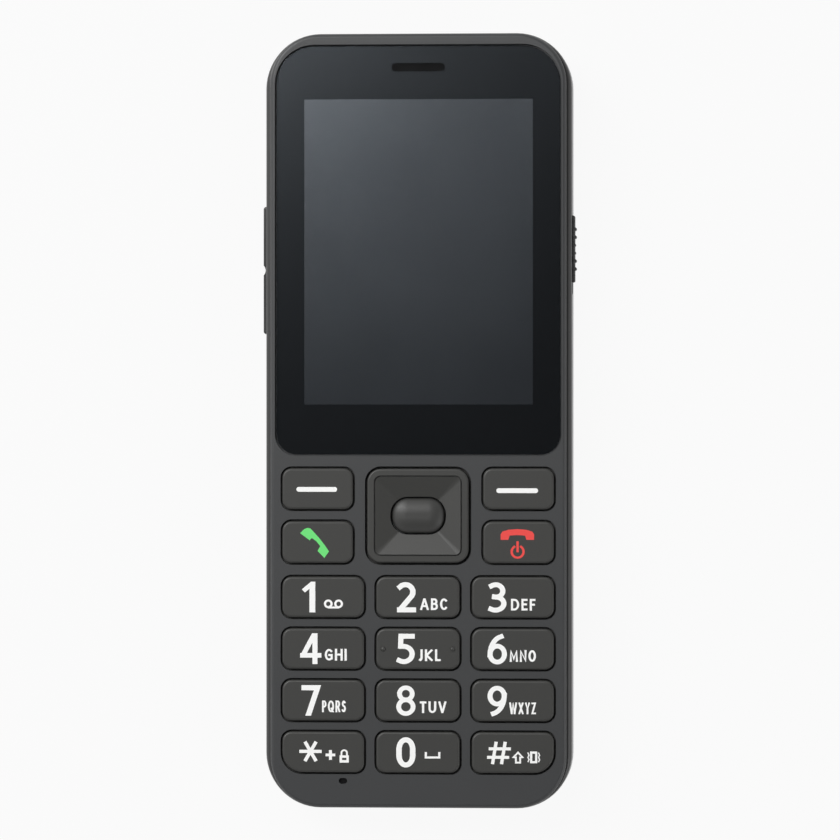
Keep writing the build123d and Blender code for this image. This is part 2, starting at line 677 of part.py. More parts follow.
# A tray inside the back cover carries a band that shows round the sides. The
# band's shoulder rolls in to the rim of the face along the two long sides.
with BuildPart() as mid_frame:
    extrude(body_outline(tray_z, tray_inset), amount=step_z - tray_z)
    fillet(mid_frame.faces().sort_by(Axis.Z)[0].edges(), BACK_RADIUS - tray_inset)
    extrude(body_outline(split_z, 0), amount=shoulder_z - split_z)
    loft([shoulder_section(share) for share in SHOULDER_STEPS], ruled=True)
    add(tray_room.part, mode=Mode.SUBTRACT)
    extrude(body_outline(step_z, FRAME_WALL), amount=parting_z - step_z, mode=Mode.SUBTRACT)
    # The battery well's walls and floor rise above the tray, and so do the screw
    # pillars, whose collars carry the board.
    slab(
        middle(0, 2 * (well_half_width + WELL_WALL)),
        middle(battery_y, BATTERY_LENGTH + 2 * (WELL_CLEARANCE + WELL_WALL)),
        (step_z, floor_z),
    )
    for x, y in screw_places:
        post(x, y, pillar_radius, step_z, board_z)
    well_y = middle(battery_y, BATTERY_LENGTH + 2 * WELL_CLEARANCE)
    slab(middle(0, 2 * well_half_width), well_y, (0, well_z), Mode.SUBTRACT)
    contact_y = (well_top - SEAT_PLAY, well_top + WELL_WALL + SEAT_PLAY)
    slab(middle(0, CONTACT_WIDTH + WELL_CLEARANCE), contact_y, (0, floor_z), Mode.SUBTRACT)
    sim_x = middle(SIM_X, SIM_WIDTH + WELL_CLEARANCE)
    slab(sim_x, middle(sim_y, SIM_LENGTH + WELL_CLEARANCE), (well_z, floor_z), Mode.SUBTRACT)
    for x, y in screw_places:
        post(x, y, BOSS_RADIUS + BOSS_CLEARANCE, floor_z, board_z, Mode.SUBTRACT)
        post(x, y, SCREW_RADIUS + SCREW_CLEARANCE, 0, floor_z, Mode.SUBTRACT)
        post(x, y, SCREW_HEAD_RADIUS + SCREW_CLEARANCE, 0, screw_seat_z, Mode.SUBTRACT)
    # Brackets that back the switches of the side keys
    for side, y, span in ((-1, rocker_y, ROCKER_LENGTH), (1, slide_switch_y, SLIDE_SWITCH_LENGTH)):
        shelf_x = (side * bracket_inner_x, side * (width / 2 - hollow_inset + SEAT_PLAY))
        slab(shelf_x, middle(y, span), (split_z, step_z))
        rib_x = (side * bracket_inner_x, side * bracket_x)
        slab(rib_x, middle(y, span), (split_z, step_z + BRACKET_HEIGHT))
    # Windows for the side keys
    window_z = middle(side_key_z, SIDE_KEY_HEIGHT + 2 * SIDE_KEY_CLEARANCE)
    rocker_window = middle(rocker_y, ROCKER_LENGTH + 2 * SIDE_KEY_CLEARANCE)
    slab((-width / 2, -frame_inner_x), rocker_window, window_z, Mode.SUBTRACT)
    slab((frame_inner_x, width / 2), knob_window, window_z, Mode.SUBTRACT)
    # Pockets that take the cover's hooks
    for side in (-1, 1):
        for y in hook_places:
            pocket_x = [
                side * (frame_inner_x + SEAT_PLAY),
                side * (hook_inner_x + HOOK_THICK + HOOK_CLEARANCE),
            ]
            pocket_y = middle(y, HOOK_WIDTH + 2 * HOOK_CLEARANCE)
            slab(pocket_x, pocket_y, (split_z, hook_top + HOOK_CLEARANCE), Mode.SUBTRACT)
    # Ports in the lower end, and room for the jack's body behind the wall
    with BuildSketch(Plane.XZ.offset(length / 2)):
        with Locations((0, usb_z)):
            SlotOverall(USB_WIDTH + 2 * PORT_CLEARANCE, USB_HEIGHT + 2 * PORT_CLEARANCE)
        with Locations((jack_x, jack_z)):
            Circle(JACK_NOSE_RADIUS + PORT_CLEARANCE)
    extrude(amount=-FRAME_WALL, mode=Mode.SUBTRACT)
    slab(
        middle(jack_x, JACK_BODY_WIDTH + 2 * PORT_CLEARANCE),
        (-length / 2 + FRAME_WALL, jack_end_y + PORT_CLEARANCE),
        (jack_z - JACK_BODY_HEIGHT / 2 - PORT_CLEARANCE, step_z),
        Mode.SUBTRACT,
    )
    # Holes through the back of the tray
    post(TORCH_OFFSET, camera_y, torch_hole, 0, step_z, Mode.SUBTRACT)
    post(0, camera_y, CAMERA_RADIUS + CAMERA_CLEARANCE, 0, tray_floor_z, Mode.SUBTRACT)
    sound_x = middle(0, SPEAKER_WIDTH - 2 * SPEAKER_BORDER)
    sound_y = middle(speaker_y, SPEAKER_LENGTH - 2 * SPEAKER_BORDER)
    slab(sound_x, sound_y, (0, tray_floor_z), Mode.SUBTRACT)
write(mid_frame, "mid_frame")

with BuildPart() as battery:
    battery_span = (battery_z, battery_z + BATTERY_THICK)
    slab(middle(0, BATTERY_WIDTH), middle(battery_y, BATTERY_LENGTH), battery_span)
    fillet(battery.edges().filter_by(Axis.Y), BATTERY_ROUND)
write(battery, "battery")

with BuildPart() as battery_contacts:
    contact_top = battery_top + WELL_CLEARANCE + CONTACT_GAP
    contact_span = (contact_top, contact_top + CONTACT_DEPTH)
    slab(middle(0, CONTACT_WIDTH), contact_span, (tray_floor_z + SPEAKER_SEAL, board_z))
    for x in (-CONTACT_PITCH, 0, CONTACT_PITCH):
        blade = (battery_top + SEAT_PLAY, contact_top)
        blade_z = middle(battery_z + BATTERY_THICK / 2, CONTACT_BLADE_HEIGHT)
        slab(middle(x, CONTACT_BLADE), blade, blade_z)
write(battery_contacts, "battery_contacts")

with BuildPart() as screws:
    for x, y in screw_places:
        post(x, y, SCREW_HEAD_RADIUS, screw_seat_z - SCREW_HEAD, screw_seat_z)
        post(x, y, SCREW_RADIUS, screw_seat_z, screw_seat_z + SCREW_SHANK)
write(screws, "screws")

# ------------------------------------------------------------- main board
# Wide under the keypad, narrow between the brackets of the side keys
with BuildPart() as main_board:
    with BuildSketch(Plane.XY.offset(board_z)):
        add(body_outline(board_z, board_inset))
        neck_height = length / 2 - neck_y
        for side in (-1, 1):
            with Locations((side * width / 2, neck_y + neck_height / 2)):
                Rectangle(width - 2 * board_neck_x, neck_height, mode=Mode.SUBTRACT)
        with Locations(*screw_places):
            Circle(BOSS_RADIUS + BOSS_CLEARANCE, mode=Mode.SUBTRACT)
        add(port_notches(board_z), mode=Mode.SUBTRACT)
    extrude(amount=BOARD_THICK)
write(main_board, "main_board")

with BuildPart() as shield_cans:
    for x, can_width, can_length in SHIELDS:
        can_x = middle(x, can_width)
        can_y = (shield_y, shield_y + can_length)
        slab(can_x, can_y, (board_z - SHIELD_HEIGHT, board_z))
    fillet(shield_cans.edges().filter_by(Axis.Z), SHIELD_ROUND)
write(shield_cans, "shield_cans")

with BuildPart() as sim_socket:
    slab(middle(SIM_X, SIM_WIDTH), middle(sim_y, SIM_LENGTH), (board_z - SIM_THICK, board_z))
    slab(
        middle(SIM_X, SIM_WIDTH - 2 * SIM_RAIL),
        (sim_y - SIM_LENGTH / 2, sim_y + SIM_LENGTH / 2 - SIM_RAIL),
        (board_z - SIM_THICK, board_z - SIM_THICK / 2),
        Mode.SUBTRACT,
    )
write(sim_socket, "sim_socket")

with BuildPart() as usb_port:
    with BuildSketch(Plane.XZ.offset(-port_y)):
        with Locations((0, usb_z)):
            SlotOverall(USB_WIDTH, USB_HEIGHT)
            SlotOverall(USB_WIDTH - 2 * USB_SHELL, USB_HEIGHT - 2 * USB_SHELL, mode=Mode.SUBTRACT)
    extrude(amount=-USB_LENGTH)
    with BuildSketch(Plane.XZ.offset(-usb_end_y)):
        with Locations((0, usb_z)):
            SlotOverall(USB_WIDTH, USB_HEIGHT)
    extrude(amount=USB_BACK)
    tongue_x = middle(0, USB_WIDTH - 2 * USB_SHELL - USB_HEIGHT)
    slab(tongue_x, (port_y + USB_TONGUE_SET, usb_end_y), middle(usb_z, USB_TONGUE))
write(usb_port, "usb_port")

with BuildPart() as audio_jack:
    body_y = (-length / 2 + FRAME_WALL + PORT_CLEARANCE, jack_end_y)
    slab(middle(jack_x, JACK_BODY_WIDTH), body_y, middle(jack_z, JACK_BODY_HEIGHT))
    with BuildSketch(Plane.XZ.offset(-port_y)):
        with Locations((jack_x, jack_z)):
            Circle(JACK_NOSE_RADIUS)
    extrude(amount=port_y - body_y[0])
    with BuildSketch(Plane.XZ.offset(-port_y)):
        with Locations((jack_x, jack_z)):
            Circle(JACK_RADIUS)
    extrude(amount=-JACK_DEPTH, mode=Mode.SUBTRACT)
write(audio_jack, "audio_jack")

# ------------------------------------------------------------- parts on the board
with BuildPart() as board_chips:
    slab(middle(0, FLEX_WIDTH), middle(connector_y, CONNECTOR_WIDTH), (board_top, connector_top))
    for x, drop, chip in CHIPS:
        slab(middle(x, chip), middle(camera_y - drop, chip), (board_z - CHIP_THICK, board_z))
write(board_chips, "board_chips")

with BuildPart() as keypad_leds:
    with Locations((0, row_y[1], board_top)):
        with GridLocations(column_x, row_pitch, 2, 3):
            Box(LED_LENGTH, LED_WIDTH, LED_HEIGHT, align=(Align.CENTER, Align.CENTER, Align.MIN))
write(keypad_leds, "keypad_leds")

with BuildPart() as microphone:
    slab(middle(MIC_X, 2 * BOOT_HALF), boot_y, (board_top, board_top + MIC_HEIGHT))
write(microphone, "microphone")

with BuildPart() as mic_boot:
    slab(middle(MIC_X, 2 * BOOT_HALF), boot_y, (board_top + MIC_HEIGHT, plate_z))
    post(MIC_X, mic_y, MIC_BORE, board_top + MIC_HEIGHT, plate_z, Mode.SUBTRACT)
write(mic_boot, "mic_boot")

# One eight-sided metal dome
with BuildPart() as dome:
    for radius, z in ((DOME_RADIUS, dome_z), (DOME_CROWN, dome_z + DOME_HEIGHT)):
        with BuildSketch(Plane.XY.offset(z)):
            RegularPolygon(radius, DOME_SIDES)
    loft()

# A sheet of metal domes under the keys, with room for the lights and the ports
with BuildPart() as dome_sheet:
    with BuildSketch(Plane.XY.offset(board_top)):
        add(mat_outline(board_top, 0))
        with Locations((0, row_y[1])):
            with GridLocations(column_x, row_pitch, 2, 3):
                Rectangle(LED_LENGTH + LED_ROOM, LED_WIDTH + LED_ROOM, mode=Mode.SUBTRACT)
        add(port_notches(board_top), mode=Mode.SUBTRACT)
    extrude(amount=DOME_SHEET)
    with Locations(*dome_places):
        add(dome.part)
write(dome_sheet, "dome_sheet")

# The silicone mat stands on its rim. It has a pad under each key and a nub
# over each dome.
with BuildPart() as keypad_mat:
    extrude(mat_outline(dome_z, 0), amount=web_top - dome_z)
    extrude(mat_outline(dome_z, -MAT_RIM), amount=web_z - dome_z, mode=Mode.SUBTRACT)
    extrude(port_notches(dome_z), amount=web_z - dome_z, mode=Mode.SUBTRACT)
    for key in [*keys.values(), ok_opening]:
        pad_x = middle(key.x, key.width - 2 * MAT_PAD_INSET)
        pad_y = middle(key.y, key.height - 2 * MAT_PAD_INSET)
        slab(pad_x, pad_y, (web_top, ok_bottom if key is ok_opening else key_bottom))
    for side in (-1, 1):
        post(side * nav_dome_x, nav_y, NUB_RADIUS, web_top, nav_bottom)
        post(0, nav_y + side * nav_dome_y, PIVOT_WIDTH / 2, web_top, pivot_z)
    nub_z = dome_z + DOME_HEIGHT + DOME_GAP
    with BuildSketch(Plane.XY.offset(nub_z)):
        with Locations(*dome_places):
            RegularPolygon(NUB_RADIUS, DOME_SIDES)
    extrude(amount=web_z - nub_z)
write(keypad_mat, "keypad_mat")

# ------------------------------------------------------------- display
with BuildPart() as display_tray:
    slab((-display_x, display_x), display_span, (display_z, gasket_z))
    fillet(display_tray.edges().filter_by(Axis.Z), TRAY_RIM)
    slab(
        middle(0, 2 * (panel_x + PANEL_CLEARANCE)),
        (panel_span[0] - PANEL_CLEARANCE, panel_span[1] + PANEL_CLEARANCE),
        (flex_z, gasket_z),
        Mode.SUBTRACT,
    )
    flex_room = middle(0, FLEX_WIDTH + 2 * PANEL_CLEARANCE)
    slab(flex_room, (display_span[0], panel_span[0]), (flex_z, gasket_z), Mode.SUBTRACT)
write(display_tray, "display_tray")

with BuildPart() as display_panel:
    slab((-panel_x, panel_x), panel_span, (flex_z, gasket_z))
write(display_panel, "display_panel")

with BuildPart() as display_flex:
    with BuildSketch(Plane.YZ):
        with BuildLine():
            FilletPolyline(
                (panel_span[0], flex_z + FLEX_THICK),
                (display_span[0], flex_z + FLEX_THICK),
                (connector_y + CONNECTOR_WIDTH / 2, connector_top + FLEX_THICK / 2),
                (connector_y - CONNECTOR_WIDTH / 2, connector_top + FLEX_THICK / 2),
                radius=FLEX_BEND,
            )
        trace(line_width=FLEX_THICK)
    extrude(amount=FLEX_WIDTH / 2, both=True)
write(display_flex, "display_flex")

with BuildPart() as display_gasket:
    with BuildSketch(Plane.XY.offset(gasket_z)):
        with Locations((0, sum(display_span) / 2)):
            Rectangle(2 * display_x, display_span[1] - display_span[0])
        add(window_outline(gasket_z, WINDOW_MARGIN), mode=Mode.SUBTRACT)
    extrude(amount=GASKET_THICK)
write(display_gasket, "display_gasket")

with BuildPart() as earpiece:
    slab(middle(0, EARPIECE_LENGTH), middle(earpiece_y, EARPIECE_WIDTH), (earpiece_z, ledge_z))
    fillet(earpiece.edges().filter_by(Axis.Z), SHIELD_ROUND)
    extrude(earpiece_slot(sound_z, 0), amount=ledge_z - sound_z, mode=Mode.SUBTRACT)
write(earpiece, "earpiece")

with BuildPart() as earpiece_mesh:
    extrude(earpiece_slot(tape_z, MESH_MARGIN), amount=TAPE_THICK)
write(earpiece_mesh, "earpiece_mesh")

with BuildPart() as lens_tape:
    extrude(lens_outline(tape_z, -TAPE_MARGIN), amount=TAPE_THICK)
    extrude(window_outline(tape_z, WINDOW_MARGIN), amount=TAPE_THICK, mode=Mode.SUBTRACT)
    extrude(earpiece_slot(tape_z, MESH_MARGIN), amount=TAPE_THICK, mode=Mode.SUBTRACT)
write(lens_tape, "lens_tape")

with BuildPart() as display_lens:
    extrude(lens_outline(lens_z, 0), amount=LENS_THICK)
    extrude(earpiece_slot(lens_z, 0), amount=LENS_THICK, mode=Mode.SUBTRACT)
    chamfer(display_lens.faces().sort_by(Axis.Z)[-1].edges(), LENS_EDGE_BREAK)
write(display_lens, "display_lens")

# ------------------------------------------------------------- front housing
# A rounded rim and faceplate with a pocket for the lens, a ledge round the
# screen, an opening for each key, and a skirt that drops inside the frame.
with BuildPart() as front_housing:
    with BuildSketch(Plane.XY.offset(parting_z)):
        RectangleRounded(face_width, face_length, CORNER - SIDE_SHOULDER)
    extrude(amount=RIM_HEIGHT)
    fillet(front_housing.faces().sort_by(Axis.Z)[-1].edges(), RIM_ROUND)
    chamfer(front_housing.faces().sort_by(Axis.Z)[0].edges(), PARTING_CHAMFER)
    extrude(body_outline(skirt_z, skirt_inset), amount=SKIRT_DEPTH)
    room_inset = skirt_inset + SKIRT_WALL
    extrude(body_outline(skirt_z, room_inset), amount=plate_z - skirt_z, mode=Mode.SUBTRACT)
    with BuildSketch(Plane.XY.offset(ledge_z)):
        add(body_outline(ledge_z, skirt_inset))
        ledge_height = length / 2 - ledge_bottom
        with Locations((0, ledge_bottom + ledge_height / 2)):
            Rectangle(width, ledge_height, mode=Mode.INTERSECT)
    extrude(amount=LEDGE_THICK)
    for x, y in screw_places:
        boss_top = ledge_z if y > ledge_bottom else plate_z
        post(x, y, BOSS_RADIUS, floor_z, boss_top)
        bore_top = screw_seat_z + SCREW_SHANK + SCREW_CLEARANCE
        post(x, y, SCREW_RADIUS + SCREW_BITE, floor_z, bore_top, Mode.SUBTRACT)
    extrude(lens_outline(tape_z, LENS_GAP), amount=face_z - tape_z, mode=Mode.SUBTRACT)
    extrude(window_outline(ledge_z, WINDOW_MARGIN), amount=LEDGE_THICK, mode=Mode.SUBTRACT)
    extrude(earpiece_slot(ledge_z, 0), amount=LEDGE_THICK, mode=Mode.SUBTRACT)
    for opening in [*keys.values(), nav_opening]:
        extrude(key_outline(plate_z, opening, 0), amount=FACEPLATE, mode=Mode.SUBTRACT)
    with BuildSketch(Plane.XY.offset(plate_z)):
        with Locations((MIC_X, mic_y)):
            SlotOverall(MIC_SLOT, MIC_SLOT_HEIGHT)
    extrude(amount=FACEPLATE, mode=Mode.SUBTRACT)
write(front_housing, "front_housing")

# ------------------------------------------------------------- keys
# Each key is a crowned cap with a flange that stops it under the faceplate.
for name, opening in keys.items():
    with BuildPart() as key_cap:
        extrude(key_outline(key_bottom, opening, KEY_LIP), amount=KEY_FLANGE)
        extrude(key_outline(key_bottom, opening, -KEY_GAP), amount=key_top - key_bottom)
        chamfer(key_cap.faces().sort_by(Axis.Z)[-1].edges(), KEY_BEVEL, KEY_BEVEL_RUN)
        if name == "key_5":
            with Locations((opening.x, opening.y, key_top)):
                with GridLocations(2 * NIB_OFFSET, 0, 2, 1):
                    Sphere(NIB_RADIUS)
    write(key_cap, name)

# The navigation key's dish falls on four flat sides to the OK key's hole.
with BuildPart() as nav_key:
    extrude(key_outline(nav_bottom, nav_opening, KEY_LIP), amount=NAV_FLANGE)
    extrude(key_outline(nav_bottom, nav_opening, -NAV_GAP), amount=key_top - nav_bottom)
    chamfer(nav_key.faces().sort_by(Axis.Z)[-1].edges(), NAV_BEVEL)
    groove_z = key_top - NAV_GROOVE_DEPTH
    with BuildSketch(Plane.XY.offset(groove_z)):
        add(key_outline(groove_z, nav_opening, -groove_inset))
        add(key_outline(groove_z, nav_opening, -dish_inset), mode=Mode.SUBTRACT)
    extrude(amount=NAV_GROOVE_DEPTH, mode=Mode.SUBTRACT)
    loft([dish_section(0), dish_section(1)], ruled=True, mode=Mode.SUBTRACT)
    extrude(key_outline(nav_bottom, ok_opening, 0), amount=key_top - nav_bottom, mode=Mode.SUBTRACT)
write(nav_key, "nav_key")

with BuildPart() as nav_pivot:
    for side in (-1, 1):
        bar_y = [nav_y + side * reach for reach in (pivot_start, pivot_start + PIVOT_LENGTH)]
        slab(middle(0, PIVOT_WIDTH), bar_y, (pivot_z, pivot_z + PIVOT_THICK))
write(nav_pivot, "nav_pivot")

with BuildPart() as ok_key:
    extrude(key_outline(ok_bottom, ok_opening, OK_LIP), amount=OK_FLANGE)
    extrude(key_outline(ok_bottom, ok_opening, -OK_GAP), amount=key_top - OK_DROP - ok_bottom)
    fillet(ok_key.faces().sort_by(Axis.Z)[-1].edges(), OK_CROWN)
write(ok_key, "ok_key")

# ------------------------------------------------------------- side keys
with BuildPart() as volume_rocker:
    with BuildSketch(Plane.XY.offset(side_key_span[0])) as rocker_plan:
        with Locations(((-rocker_outer_x - flange_x) / 2, rocker_y)):
            Rectangle(rocker_outer_x - flange_x, ROCKER_LENGTH)
        fillet(rocker_plan.vertices().group_by(Axis.X)[0], ROCKER_CORNER)
        with Locations((-rocker_outer_x - ROCKER_DIP_RADIUS + ROCKER_DIP_DEPTH, rocker_y)):
            Circle(ROCKER_DIP_RADIUS, mode=Mode.SUBTRACT)
    extrude(amount=SIDE_KEY_HEIGHT)
    fillet(volume_rocker.edges().filter_by(Axis.Y).group_by(Axis.X)[0], SIDE_KEY_ROUND)
    flange_y = middle(rocker_y, ROCKER_LENGTH + 2 * side_flange_reach)
    slab((-flange_x - ROCKER_FLANGE, -flange_x), flange_y, side_flange_z)
    slab((-flange_x, -rocker_pivot_x), middle(rocker_y, 2 * ROCKER_PIVOT_RADIUS), side_key_span)
    post(-rocker_pivot_x, rocker_y, ROCKER_PIVOT_RADIUS, *side_key_span)
    for side in (-1, 1):
        plunger_y = middle(rocker_y + side * PLUNGER_OFFSET, PLUNGER_WIDTH)
        slab((-flange_x, -flange_x + PLUNGER), plunger_y, middle(side_key_z, PLUNGER_WIDTH))
write(volume_rocker, "volume_rocker")

with BuildPart() as volume_switches:
    slab((-switch_board_x, -bracket_x), middle(rocker_y, ROCKER_LENGTH), bracket_span)
    for side in (-1, 1):
        switch_y = middle(rocker_y + side * PLUNGER_OFFSET, SWITCH_LENGTH)
        slab((-switch_x, -switch_board_x), switch_y, middle(side_key_z, SWITCH_HEIGHT))
write(volume_switches, "volume_switches")

with BuildPart() as slide_knob:
    with BuildSketch(Plane.XY.offset(side_key_span[0])) as knob_plan:
        with Locations(((knob_flange_x + knob_outer_x) / 2, knob_y)):
            Rectangle(knob_outer_x - knob_flange_x, KNOB_LENGTH)
        fillet(knob_plan.vertices().group_by(Axis.X)[-1], SIDE_KEY_ROUND)
    extrude(amount=SIDE_KEY_HEIGHT)
    for index in range(RIDGE_COUNT):
        ridge_y = (index - (RIDGE_COUNT - 1) / 2) * RIDGE_PITCH
        rise = RIDGE_RISE if abs(ridge_y) > RIDGE_PITCH else RIDGE_RISE / 2
        post(knob_outer_x + rise - RIDGE_RADIUS, knob_y + ridge_y, RIDGE_RADIUS, *side_key_span)
    flange_y = middle(knob_y, KNOB_LENGTH + 2 * (side_flange_reach + KNOB_TRAVEL))
    slab((knob_flange_x, knob_flange_x + KNOB_FLANGE), flange_y, side_flange_z)
    for side in (-1, 1):
        finger_y = [knob_y + side * (finger_reach + wall) for wall in (0, FINGER_WALL)]
        slab((finger_x, knob_flange_x), finger_y, actuator_span)
write(slide_knob, "slide_knob")

with BuildPart() as slide_actuator:
    actuator_y = middle(knob_y, ACTUATOR_LENGTH)
    actuator_x = (slide_slot_x + KNOB_PLAY, knob_flange_x - KNOB_PLAY)
    slab(actuator_x, actuator_y, actuator_span)
write(slide_actuator, "slide_actuator")

with BuildPart() as slide_switch:
    switch_face_x = bracket_x + SLIDE_SWITCH_THICK
    switch_y = middle(slide_switch_y, SLIDE_SWITCH_LENGTH)
    slab((bracket_x, switch_face_x), switch_y, side_key_span)
    slot_length = ACTUATOR_LENGTH + KNOB_TRAVEL + 2 * SIDE_KEY_CLEARANCE
    slot_z = middle(side_key_z, ACTUATOR_HEIGHT + 2 * SIDE_KEY_CLEARANCE)
    slab((slide_slot_x, switch_face_x), middle(slide_switch_y, slot_length), slot_z, Mode.SUBTRACT)
write(slide_switch, "slide_switch")

# ------------------------------------------------------------- parts in the tray
with BuildPart() as loudspeaker:
    speaker_top = speaker_z + SPEAKER_THICK
    slab(middle(0, SPEAKER_WIDTH), middle(speaker_y, SPEAKER_LENGTH), (speaker_z, speaker_top))
    fillet(loudspeaker.edges().filter_by(Axis.Z), SPEAKER_BORDER)
    with BuildSketch(Plane.XY.offset(speaker_z)):
        with Locations((0, speaker_y)):
            SlotOverall(SPEAKER_WIDTH - 2 * SPEAKER_BORDER, SPEAKER_LENGTH - 2 * SPEAKER_BORDER)
    extrude(amount=SPEAKER_CONE, mode=Mode.SUBTRACT)
write(loudspeaker, "loudspeaker")

with BuildPart() as speaker_gasket:
    slab(middle(0, SPEAKER_WIDTH), middle(speaker_y, SPEAKER_LENGTH), (tray_floor_z, speaker_z))
    fillet(speaker_gasket.edges().filter_by(Axis.Z), SPEAKER_BORDER)
    slab(sound_x, sound_y, (tray_floor_z, speaker_z), Mode.SUBTRACT)
write(speaker_gasket, "speaker_gasket")

# The vibration motor's half-round weight turns on its shaft along X.
motor_end_x = motor_x + MOTOR_LENGTH / 2
weight_x = motor_end_x + WEIGHT_GAP
with BuildPart() as vibration_motor:
    with Locations((motor_x, speaker_y, motor_z)):
        Cylinder(MOTOR_RADIUS, MOTOR_LENGTH, rotation=(0, 90, 0))
    with Locations((motor_end_x, speaker_y, motor_z)):
        bore = MOTOR_SHAFT + MOTOR_SHAFT_CLEARANCE
        Cylinder(bore, 2 * MOTOR_SHAFT_DEPTH, rotation=(0, 90, 0), mode=Mode.SUBTRACT)
write(vibration_motor, "vibration_motor")

with BuildPart() as vibration_weight:
    shaft_span = (motor_end_x - MOTOR_SHAFT_DEPTH + MOTOR_SHAFT_CLEARANCE, weight_x + WEIGHT_LENGTH)
    with BuildSketch(Plane.YZ.offset(shaft_span[0])):
        with Locations((speaker_y, motor_z)):
            Circle(MOTOR_SHAFT)
    extrude(amount=shaft_span[1] - shaft_span[0])
    with BuildSketch(Plane.YZ.offset(weight_x)):
        with Locations((speaker_y, motor_z)):
            Circle(WEIGHT_RADIUS)
            upper = (Align.CENTER, Align.MIN)
            Rectangle(2 * WEIGHT_RADIUS, WEIGHT_RADIUS, align=upper, mode=Mode.SUBTRACT)
    extrude(amount=WEIGHT_LENGTH)
write(vibration_weight, "vibration_weight")

with BuildPart() as camera_module:
    body_z = (board_z - CAMERA_BODY_DEPTH, board_z)
    slab(middle(0, CAMERA_BODY), middle(camera_y, CAMERA_BODY), body_z)
    post(0, camera_y, CAMERA_RADIUS, tray_z + SEAT_PLAY, body_z[0])
    post(0, camera_y, CAMERA_RADIUS / 2, tray_z + SEAT_PLAY, tray_z + CAMERA_RECESS, Mode.SUBTRACT)
write(camera_module, "camera_module")

with BuildPart() as torch_led:
    torch_size = 2 * TORCH_RADIUS
    slab(middle(TORCH_OFFSET, torch_size), middle(camera_y, torch_size), (torch_z, board_z))
write(torch_led, "torch_led")

with BuildPart() as torch_light_pipe:
    post(TORCH_OFFSET, camera_y, TORCH_RADIUS, WINDOW_RECESS, torch_z - SEAT_PLAY)
    chamfer(torch_light_pipe.edges().group_by(Axis.Z)[0], LENS_EDGE_BREAK)
write(torch_light_pipe, "torch_light_pipe")

with BuildPart() as antenna_carrier:
    carrier_z = (tray_floor_z, antenna_z)
    slab(middle(0, ANTENNA_WIDTH), middle(antenna_y, ANTENNA_LENGTH), carrier_z)
    inner_width = ANTENNA_WIDTH - 2 * COLLAR_WALL
    inner_length = ANTENNA_LENGTH - 2 * COLLAR_WALL
    inner_z = (tray_floor_z, antenna_z - COLLAR_WALL)
    slab(middle(0, inner_width), middle(antenna_y, inner_length), inner_z, Mode.SUBTRACT)
write(antenna_carrier, "antenna_carrier")

with BuildPart() as antenna:
    strip_z = (antenna_z, antenna_z + ANTENNA_PLATE)
    slab(middle(0, inner_width), middle(antenna_y, inner_length), strip_z)
write(antenna, "antenna")
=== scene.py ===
"""A bar phone with large keys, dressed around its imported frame.

Lengths are metres in the frame's own axes: +X is to the right and +Y towards
the earpiece, both as seen from the front, and +Z comes out of the screen.
"""
import json
import logging
import math
from collections.abc import Callable, Sequence
from dataclasses import dataclass, field
from enum import Enum
from typing import Any

import bmesh
import bpy
from mathutils import Matrix, Vector

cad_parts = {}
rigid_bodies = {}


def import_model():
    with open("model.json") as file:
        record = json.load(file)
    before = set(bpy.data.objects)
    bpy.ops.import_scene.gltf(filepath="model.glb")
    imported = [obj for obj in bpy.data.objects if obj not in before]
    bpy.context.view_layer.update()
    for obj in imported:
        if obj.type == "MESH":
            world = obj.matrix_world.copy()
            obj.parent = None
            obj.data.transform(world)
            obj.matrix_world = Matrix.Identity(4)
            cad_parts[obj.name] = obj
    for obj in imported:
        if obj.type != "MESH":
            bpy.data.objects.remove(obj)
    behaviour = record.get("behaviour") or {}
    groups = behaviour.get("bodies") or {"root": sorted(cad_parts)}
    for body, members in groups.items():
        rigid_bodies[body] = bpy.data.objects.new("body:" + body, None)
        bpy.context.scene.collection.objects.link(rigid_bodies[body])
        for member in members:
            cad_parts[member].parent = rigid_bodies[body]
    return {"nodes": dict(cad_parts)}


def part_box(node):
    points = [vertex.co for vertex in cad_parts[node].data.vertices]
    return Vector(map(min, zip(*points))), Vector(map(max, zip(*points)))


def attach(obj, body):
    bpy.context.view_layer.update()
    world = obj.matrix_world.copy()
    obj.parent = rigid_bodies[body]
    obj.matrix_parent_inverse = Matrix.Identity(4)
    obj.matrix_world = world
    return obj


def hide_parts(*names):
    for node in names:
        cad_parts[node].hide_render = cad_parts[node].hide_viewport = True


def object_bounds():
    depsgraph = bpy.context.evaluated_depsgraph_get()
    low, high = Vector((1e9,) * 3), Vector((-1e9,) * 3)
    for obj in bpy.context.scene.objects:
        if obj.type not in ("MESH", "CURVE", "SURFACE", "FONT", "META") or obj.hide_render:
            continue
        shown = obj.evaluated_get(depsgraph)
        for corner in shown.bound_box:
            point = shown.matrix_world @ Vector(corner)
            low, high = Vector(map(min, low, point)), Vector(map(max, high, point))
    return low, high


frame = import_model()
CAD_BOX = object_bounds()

MM = 0.001
SMOOTH_ANGLE = math.radians(32)
DOMED_ANGLE = math.radians(50)
DISH_ANGLE = math.radians(14)
WELD = 0.0005 * MM
LEVEL_SLACK = 0.002 * MM
CORNER_SLACK = 1e-7
UPRIGHT = 0.9
FLAT_ANGLE = math.radians(0.4)
FLAT_INK_ANGLE = math.radians(0.5)
ROUND_END = 0.999

log = logging.getLogger("large_key_phone")

Point = tuple[float, float]
Colour = tuple[float, float, float, float]


# ------------------------------------------------------------- shader maths
def tone(code: str) -> Colour:
    """Turn a hex colour as it is seen, such as "4C4D4E", into a linear one."""
    channels = [int(code[place:place + 2], 16) / 255 for place in (0, 2, 4)]
    red, green, blue = [
        part / 12.92 if part <= 0.04045 else ((part + 0.055) / 1.055) ** 2.4 for part in channels
    ]
    return (red, green, blue, 1.0)


